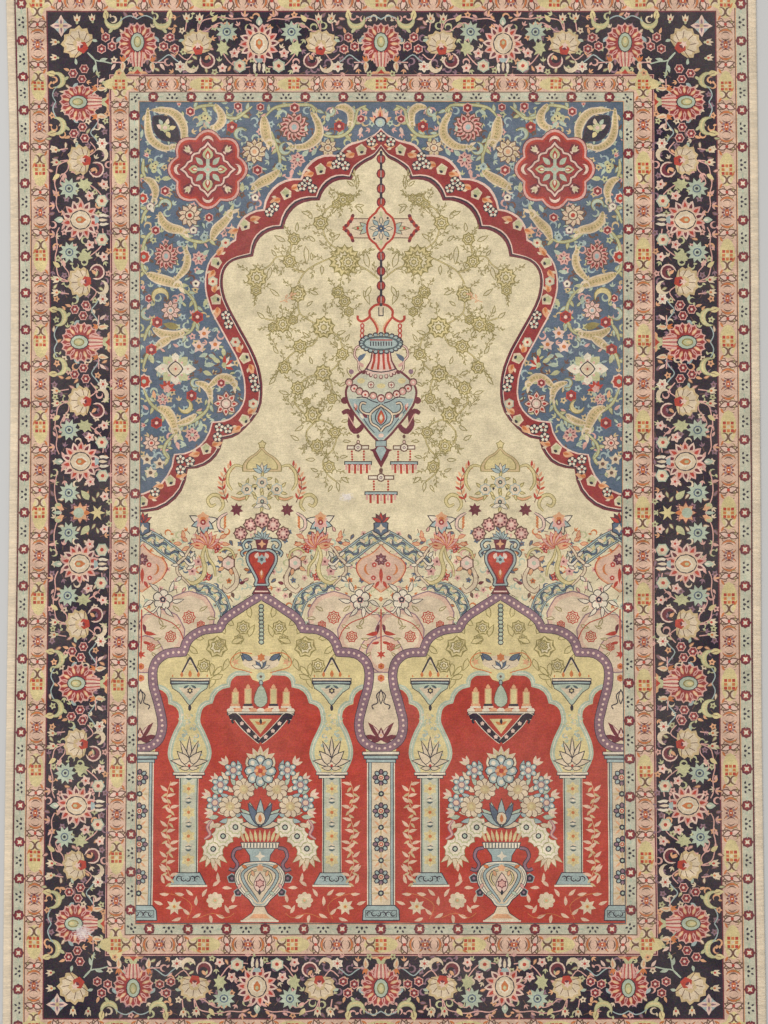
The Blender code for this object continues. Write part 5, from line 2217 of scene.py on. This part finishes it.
def silk_pile(settings):
    """Knotted silk: the dye of each area, its rows, single knots, soft mottling that is partly painted shade,
    faded places and soft sheen.
    """
    made, tree, shader = new_finish("silk_pile", 0.62, 0.04)
    shader.inputs["Specular IOR Level"].default_value = 0.15
    place = node(tree, "ShaderNodeTexCoord").outputs["Object"]
    dye = node(tree, "ShaderNodeAttribute", attribute_name="dye").outputs["Color"]
    knot = settings.knot_size
    cell = result(tree, "ShaderNodeVectorMath", {0: place, 1: (knot, knot, 1.0)}, operation="SNAP")
    single = node(tree, "ShaderNodeTexWhiteNoise", {"Vector": cell}, noise_dimensions="2D")
    inputs = {"Value": single.outputs["Value"], "To Min": 1 - settings.knot_grain,
        "To Max": 1 + settings.knot_grain}
    grain = result(tree, "ShaderNodeMapRange", inputs)
    bands = varied(tree, stretched(tree, place, (1.4, 30.0, 1.0)), 1.0, 3.0, 1 - settings.abrash,
        1 + settings.abrash)
    slubs = varied(tree, stretched(tree, place, (90.0, 620.0, 1.0)), 1.0, 1.0, 0.92, 1.06)
    # Soft light and dark mottling: partly the silk's own mottling, partly painted shade standing for gentle
    # undulations of the rug lying on the floor
    mottling_and_shade = varied(tree, place, 60.0, 4.0, 1 - settings.knot_grain, 1 + settings.knot_grain)
    worn = varied(tree, place, 7.0, 4.0, 0.0, settings.wear)
    colour = tinted(tree, worn, dye, WORN_PALE)
    colour = tinted(tree, 0.025, colour, single.outputs["Color"])
    for smear in SMEARS:
        colour = tinted(tree, smear_share(tree, place, smear), colour, SMEAR_PALE)
    light = times(tree, times(tree, times(tree, grain, bands), slubs), mottling_and_shade)
    shaded = result(tree, "ShaderNodeVectorMath", {0: colour, "Scale": light}, operation="SCALE")
    tree.links.new(shaded, shader.inputs["Base Color"])
    height = times(tree, single.outputs["Value"], slubs)
    bump = node(tree, "ShaderNodeBump", {"Height": height, "Strength": 0.3, "Distance": 0.0003})
    tree.links.new(bump.outputs[0], shader.inputs["Normal"])
    return made


def plain_silk(name, colour, ridges):
    """Undyed silk yarn: its own tone, darker on the wrapped core as painted shade between the turns, fine
    fibres along the ridges and a soft sheen.
    """
    made, tree, shader = new_finish(name, 0.6, 0.2)
    place = node(tree, "ShaderNodeTexCoord").outputs["Object"]
    tone = node(tree, "ShaderNodeAttribute", attribute_name="tone").outputs["Fac"]
    fibres = varied(tree, stretched(tree, place, ridges), 1.0, 3.0, 0.88, 1.08)
    soiled = varied(tree, place, 14.0, 3.0, 0.88, 1.05)
    light = times(tree, times(tree, fibres, soiled), tone)
    shaded = result(tree, "ShaderNodeVectorMath", {0: (*colour,), "Scale": light}, operation="SCALE")
    tree.links.new(shaded, shader.inputs["Base Color"])
    bump = node(tree, "ShaderNodeBump", {"Height": fibres, "Strength": 0.4, "Distance": 0.0002})
    tree.links.new(bump.outputs[0], shader.inputs["Normal"])
    return made


# Overcast edges and woven ends


def wrapping_tree():
    """Node tree: a core band along a guide line, wrapped in one turn of yarn after another."""
    tree = bpy.data.node_groups.new("overcasting", "GeometryNodeTree")
    face = tree.interface
    face.new_socket("Guide", in_out="INPUT", socket_type="NodeSocketGeometry")
    sizes = (
        ("Pitch", 0.0017), ("Band Width", 0.0122), ("Band Height", 0.0032), ("Yarn Width", 0.0017),
        ("Slant", 0.09),
    )
    for name, default in sizes:
        face.new_socket(name, in_out="INPUT", socket_type="NodeSocketFloat").default_value = default
    face.new_socket("Silk", in_out="INPUT", socket_type="NodeSocketMaterial")
    face.new_socket("Edge", in_out="OUTPUT", socket_type="NodeSocketGeometry")
    given = node(tree, "NodeGroupInput").outputs

    def halved(value, less=None):
        if less is not None:
            value = result(tree, "ShaderNodeMath", {0: value, 1: less}, operation="SUBTRACT")
        return times(tree, value, 0.5)

    half_wide = halved(given["Band Width"], given["Yarn Width"])
    half_high = halved(given["Band Height"], given["Yarn Width"])
    line = result(tree, "GeometryNodeMeshToCurve", {"Mesh": given["Guide"]})
    round_line = result(tree, "GeometryNodeCurvePrimitiveCircle", {"Resolution": 10, "Radius": 1.0})
    turn_size = result(tree, "ShaderNodeCombineXYZ", {"X": half_wide, "Y": half_high, "Z": 1.0})
    upright = {"Geometry": round_line, "Scale": turn_size, "Rotation": (math.pi / 2, 0.0, 0.0)}
    turn = result(tree, "GeometryNodeTransform", upright)
    strand = result(tree, "GeometryNodeCurvePrimitiveCircle",
        {"Resolution": 4, "Radius": halved(given["Yarn Width"])})
    yarn = result(tree, "GeometryNodeCurveToMesh", {"Curve": turn, "Profile Curve": strand})
    stops = result(tree, "GeometryNodeResampleCurve", {"Curve": line, "Length": given["Pitch"]},
        mode="LENGTH")
    way = result(tree, "GeometryNodeInputTangent")
    facing = result(tree, "FunctionNodeAlignRotationToVector", {"Vector": way}, axis="Y")
    lean = node(tree, "FunctionNodeRandomValue", {"Min": 0.6, "Max": 1.4, "Seed": 3}, data_type="FLOAT")
    lean = times(tree, lean.outputs["Value"], given["Slant"])
    leaning = result(tree, "ShaderNodeCombineXYZ", {"Z": lean})
    turned = result(tree, "FunctionNodeRotateRotation", {"Rotation": facing, "Rotate By": leaning},
        rotation_space="LOCAL")
    wraps = result(tree, "GeometryNodeInstanceOnPoints", {"Points": stops, "Instance": yarn,
        "Rotation": turned})
    shade = node(tree, "FunctionNodeRandomValue", {"Min": 0.9, "Max": 1.06, "Seed": 5},
        data_type="FLOAT").outputs["Value"]
    wraps = result(tree, "GeometryNodeStoreNamedAttribute", {"Geometry": wraps, "Name": "tone",
        "Value": shade}, data_type="FLOAT", domain="INSTANCE")
    slim = result(tree, "GeometryNodeTransform", {"Geometry": round_line, "Scale": turn_size})
    level = result(tree, "GeometryNodeSetCurveNormal", {"Curve": line}, mode="Z_UP")
    core = result(tree, "GeometryNodeCurveToMesh", {"Curve": level, "Profile Curve": slim,
        "Fill Caps": True})
    # The core shows only in the gaps between the turns; its tone of 0.8 is painted shade in those gaps
    core = result(tree, "GeometryNodeStoreNamedAttribute", {"Geometry": core, "Name": "tone",
        "Value": 0.8}, data_type="FLOAT", domain="POINT")
    both = node(tree, "GeometryNodeJoinGeometry")
    tree.links.new(wraps, both.inputs[0])
    tree.links.new(core, both.inputs[0])
    whole = result(tree, "GeometryNodeRealizeInstances", {"Geometry": both.outputs[0]})
    dressed = result(tree, "GeometryNodeSetMaterial", {"Geometry": whole, "Material": given["Silk"]})
    tree.links.new(dressed, node(tree, "NodeGroupOutput").inputs["Edge"])
    return tree


def overcast_edge(name, way, tree, values):
    """The wrapped edge along one long side; way is -1 for left, +1 for right."""
    height = values["Band Height"] / 2
    middle = (PATTERN_SIDE + SIDE_NOMINAL) / 2
    end = RUG_HALF_LENGTH - values["Yarn Width"] / MM
    rows = [end * (2 * i / (GUIDE_POINTS - 1) - 1) for i in range(GUIDE_POINTS)]
    points = [(*(c * MM for c in laid(way * middle, y)), height) for y in rows]
    guide = bpy.data.meshes.new("guide")
    guide.from_pydata(points, [(i, i + 1) for i in range(GUIDE_POINTS - 1)], [])
    carrier = shown("guide", guide)
    modifier = carrier.modifiers.new("overcasting", "NODES")
    modifier.node_group = tree
    for socket in tree.interface.items_tree:
        if socket.name in values:
            modifier[socket.identifier] = values[socket.name]
    carrier.update_tag()
    graph = bpy.context.evaluated_depsgraph_get()
    mesh = bpy.data.meshes.new_from_object(carrier.evaluated_get(graph))
    mesh.name = name
    bpy.data.objects.remove(carrier, do_unlink=True)
    if not mesh.polygons:
        raise RuntimeError(f"{name} came out empty")
    return shown(name, mesh)


def woven_end(name, way, weft_pitch):
    """The plain woven band past the last knots, with its weft as low ridges; way is -1 for the lower end."""
    depth = RUG_HALF_LENGTH - PATTERN_END
    steps = max(round(depth / weft_pitch), 1) * RIDGE_STEPS
    rows = []
    for k in range(steps + 1):
        ridge = RIDGE_HEIGHT * (1 - abs(math.cos(math.pi * k / RIDGE_STEPS)))
        rows.append((way * (PATTERN_END + depth * k / steps), WOVEN_HEIGHT - RIDGE_HEIGHT + ridge))
    ring = [(rows[0][0], 0.0)] + rows + [(rows[-1][0], 0.0)]
    points, faces = [], []
    for i in range(END_STATIONS + 1):
        across = PATTERN_SIDE * (2 * i / END_STATIONS - 1)
        points += [(*laid(across, y), z) for y, z in ring]
    count = len(ring)
    for i in range(END_STATIONS):
        for k in range(count):
            a, b = i * count + k, i * count + (k + 1) % count
            faces.append((a, a + count, b + count, b) if way < 0 else (a, b, b + count, a + count))
    last = END_STATIONS * count
    first_cap, last_cap = list(range(count)), list(range(last, last + count))
    faces += [first_cap[::-1], last_cap] if way > 0 else [first_cap, last_cap[::-1]]
    mesh = bpy.data.meshes.new(name)
    mesh.from_pydata([(x * MM, y * MM, z * MM) for x, y, z in points], [], faces)
    tone = mesh.attributes.new("tone", "FLOAT", "POINT")
    tone.data.foreach_set("value", np.ones(len(points), dtype=np.float32))
    mesh.update()
    return shown(name, mesh)


# What a user can change


class RugPileSettings(PropertyGroup):
    """Dyes and texture of the knotted pile."""

    border_ground: FloatVectorProperty(name="Border ground",
        description="Dye of the main border's ground", subtype="COLOR", size=3, min=0, max=1,
        default=linear(YARN["navy"]))
    guard_ground: FloatVectorProperty(name="Guard ground",
        description="Dye of the two peach guard borders", subtype="COLOR", size=3, min=0, max=1,
        default=linear(YARN["guard"]))
    field_ground: FloatVectorProperty(name="Field ground",
        description="Dye of the pale field round the lamp", subtype="COLOR", size=3, min=0, max=1,
        default=linear(YARN["field"]))
    spandrel_ground: FloatVectorProperty(name="Spandrel ground",
        description="Dye of the corners above the niche", subtype="COLOR", size=3, min=0, max=1,
        default=linear(YARN["steel"]))
    niche_ground: FloatVectorProperty(name="Niche ground",
        description="Dye of the ground round the vases", subtype="COLOR", size=3, min=0, max=1,
        default=linear(YARN["brick"]))
    tone_spread: FloatProperty(name="Dye spread",
        description="How far the dye of one motif strays from the next", default=0.05, min=0, max=0.3,
        subtype="FACTOR")
    knot_size: FloatProperty(name="Knot size", description="Width of one knot", default=0.0011,
        min=0.0004, max=0.01, subtype="DISTANCE")
    knot_grain: FloatProperty(name="Knot grain",
        description="How far single knots differ in light and dark", default=0.13, min=0, max=0.5,
        subtype="FACTOR")
    abrash: FloatProperty(name="Abrash",
        description="Strength of the shade bands that run along the rows", default=0.07, min=0, max=0.5,
        subtype="FACTOR")
    wear: FloatProperty(name="Wear", description="How far worn places fade towards pale silk",
        default=0.09, min=0, max=1, subtype="FACTOR")


class RugEdgeSettings(PropertyGroup):
    """Sizes and colour of the overcast edges and the woven ends."""

    pitch: FloatProperty(name="Pitch", description="Distance from one turn of yarn to the next",
        default=0.0017, min=0.0008, max=0.01, subtype="DISTANCE")
    yarn_width: FloatProperty(name="Yarn width", description="Thickness of the wrapping yarn",
        default=0.0017, min=0.0005, max=0.003, subtype="DISTANCE")
    slant: FloatProperty(name="Slant", description="How far the turns lean along the edge", default=0.09,
        min=0, max=0.6, subtype="ANGLE")
    weft_pitch: FloatProperty(name="Weft pitch",
        description="Distance between the weft ridges of the woven ends, in millimetres", default=1.06,
        min=0.5, max=5)
    silk: FloatVectorProperty(name="Edge silk", description="Colour of the undyed silk", subtype="COLOR",
        size=3, min=0, max=1, default=linear(YARN["edge"]))


class RugStageSettings(PropertyGroup):
    """Floor, light and camera."""

    floor: FloatVectorProperty(name="Floor", description="Colour of the plain floor", subtype="COLOR",
        size=3, min=0, max=1, default=(0.6, 0.59, 0.57))
    sky: FloatProperty(name="Fill light", description="Strength of the even light from all round",
        default=0.62, min=0, max=5)
    lamp: FloatProperty(name="Soft light", description="Power of the large soft light", default=62.0,
        min=0, max=2000, subtype="POWER")
    shown_length: FloatProperty(name="Shown length",
        description="Length of rug from the top to the bottom of the picture", default=1.3824, min=0.2,
        max=5, subtype="DISTANCE")


# Operators


class RUG_OT_knot_pile(Operator):
    """Knots the pile with its whole pattern, in parts from the lower border to the upper one"""

    bl_idname = "rug.knot_pile"
    bl_label = "Knot the Pile"

    def execute(self, context):
        settings = context.scene.rug_pile
        yarns = {yarn: np.array(linear(code)) for yarn, code in YARN.items()}
        grounds = (
            ("navy", settings.border_ground), ("guard", settings.guard_ground),
            ("field", settings.field_ground), ("steel", settings.spandrel_ground),
            ("brick", settings.niche_ground),
        )
        for yarn, dye in grounds:
            yarns[yarn] = np.array(dye)
        shapes = dyed_shapes(drawn_borders(), False, yarns, settings.tone_spread)
        shapes += dyed_shapes(drawn_field(), True, yarns, settings.tone_spread)
        finish = silk_pile(settings)
        for name, low, high in pile_rows():
            part = knotted_part(name, low, high, shapes)
            part.data.materials.append(finish)
            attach(part, "root")
            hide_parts("knotted_sheet")
        return {"FINISHED"}


class RUG_OT_weave_ends(Operator):
    """Weaves the plain bands at both ends of the rug"""

    bl_idname = "rug.weave_ends"
    bl_label = "Weave the Ends"

    def execute(self, context):
        settings = context.scene.rug_edges
        finish = plain_silk("woven_silk", settings.silk, (700.0, 160.0, 300.0))
        for name, way in (("woven_end_lower", -1), ("woven_end_upper", 1)):
            end = woven_end(name, way, settings.weft_pitch)
            end.data.materials.append(finish)
            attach(end, "root")
            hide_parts("knotted_sheet")
        return {"FINISHED"}


class RUG_OT_overcast_edges(Operator):
    """Wraps both long sides in silk yarn"""

    bl_idname = "rug.overcast_edges"
    bl_label = "Overcast the Edges"

    def execute(self, context):
        settings = context.scene.rug_edges
        finish = plain_silk("edge_silk", settings.silk, (260.0, 900.0, 300.0))
        values = {"Pitch": settings.pitch, "Band Width": EDGE_WIDTH * MM, "Band Height": EDGE_HEIGHT,
            "Yarn Width": settings.yarn_width, "Slant": settings.slant, "Silk": finish}
        tree = wrapping_tree()
        for side, way in (("left", -1), ("right", 1)):
            edge = overcast_edge(f"overcasting_{side}", way, tree, values)
            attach(edge, "root")
            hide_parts(f"overcast_edge_{side}")
        return {"FINISHED"}


class RUG_OT_declare_sheets(Operator):
    """Looks up the pieces sewn or woven on to each part of the pile, and does nothing more with them"""

    bl_idname = "rug.declare_sheets"
    bl_label = "State the Sheets"

    def execute(self, context):
        for name, low, high in pile_rows():
            pieces = [bpy.data.objects[piece] for piece in JOINED_PIECES.get(name, [])]
        return {"FINISHED"}


class RUG_OT_set_stage(Operator):
    """Lays the plain floor and places the soft light and the camera above the rug"""

    bl_idname = "rug.set_stage"
    bl_label = "Set the Stage"

    def execute(self, context):
        settings = context.scene.rug_stage
        scene = context.scene
        floor_mesh = bpy.data.meshes.new("floor")
        corners = [(-1, -1), (1, -1), (1, 1), (-1, 1)]
        points = [(x * FLOOR_HALF, y * FLOOR_HALF, -FLOOR_GAP) for x, y in corners]
        floor_mesh.from_pydata(points, [], [(0, 1, 2, 3)])
        paint, _, shader = new_finish("floor", 0.8, 0.0)
        shader.inputs["Base Color"].default_value = (*settings.floor, 1.0)
        floor_mesh.materials.append(paint)
        shown("floor", floor_mesh)
        world = bpy.data.worlds.new("studio")
        scene.world = world
        world.use_nodes = True
        background = world.node_tree.nodes["Background"]
        background.inputs["Strength"].default_value = settings.sky
        background.inputs["Color"].default_value = (1.0, 1.0, 1.0, 1.0)
        light = bpy.data.lights.new("soft_light", "AREA")
        light.size = LIGHT_SIZE
        light.energy = settings.lamp
        soft = shown("soft_light", light)
        soft.location = LIGHT_PLACE
        soft.rotation_euler = (-Vector(LIGHT_PLACE)).to_track_quat("-Z", "Y").to_euler()
        soft.visible_camera = False
        scene.view_settings.view_transform = "Standard"
        lens = bpy.data.cameras.new("camera")
        lens.lens = CAMERA_LENS
        camera = shown("camera", lens)
        camera.location = (*VIEW_MIDDLE, settings.shown_length * CAMERA_LENS / lens.sensor_width)
        scene.camera = camera
        return {"FINISHED"}


STEPS = (RUG_OT_knot_pile, RUG_OT_weave_ends, RUG_OT_overcast_edges, RUG_OT_declare_sheets,
    RUG_OT_set_stage)


class RUG_PT_panel(Panel):
    """The rug's settings and steps"""

    bl_label = "Silk Prayer Rug"
    bl_idname = "RUG_PT_panel"
    bl_space_type = "VIEW_3D"
    bl_region_type = "UI"
    bl_category = "Rug"

    def draw(self, context):
        for group in ("rug_pile", "rug_edges", "rug_stage"):
            settings = getattr(context.scene, group)
            column = self.layout.box().column()
            for name in settings.bl_rna.properties.keys():
                if name not in ("rna_type", "name"):
                    column.prop(settings, name)
        for step in STEPS:
            self.layout.operator(step.bl_idname)


GROUPS = {"rug_pile": RugPileSettings, "rug_edges": RugEdgeSettings, "rug_stage": RugStageSettings}


def register():
    for kind in (*GROUPS.values(), *STEPS, RUG_PT_panel):
        bpy.utils.register_class(kind)
    for name, kind in GROUPS.items():
        setattr(bpy.types.Scene, name, PointerProperty(type=kind))


def unregister():
    for name in GROUPS:
        delattr(bpy.types.Scene, name)
    for kind in (RUG_PT_panel, *reversed(STEPS), *reversed(GROUPS.values())):
        bpy.utils.unregister_class(kind)


def main():
    register()
    bpy.ops.rug.knot_pile()
    bpy.ops.rug.weave_ends()
    bpy.ops.rug.overcast_edges()
    bpy.ops.rug.declare_sheets()
    bpy.ops.rug.set_stage()


if __name__ == "__main__":
    main()
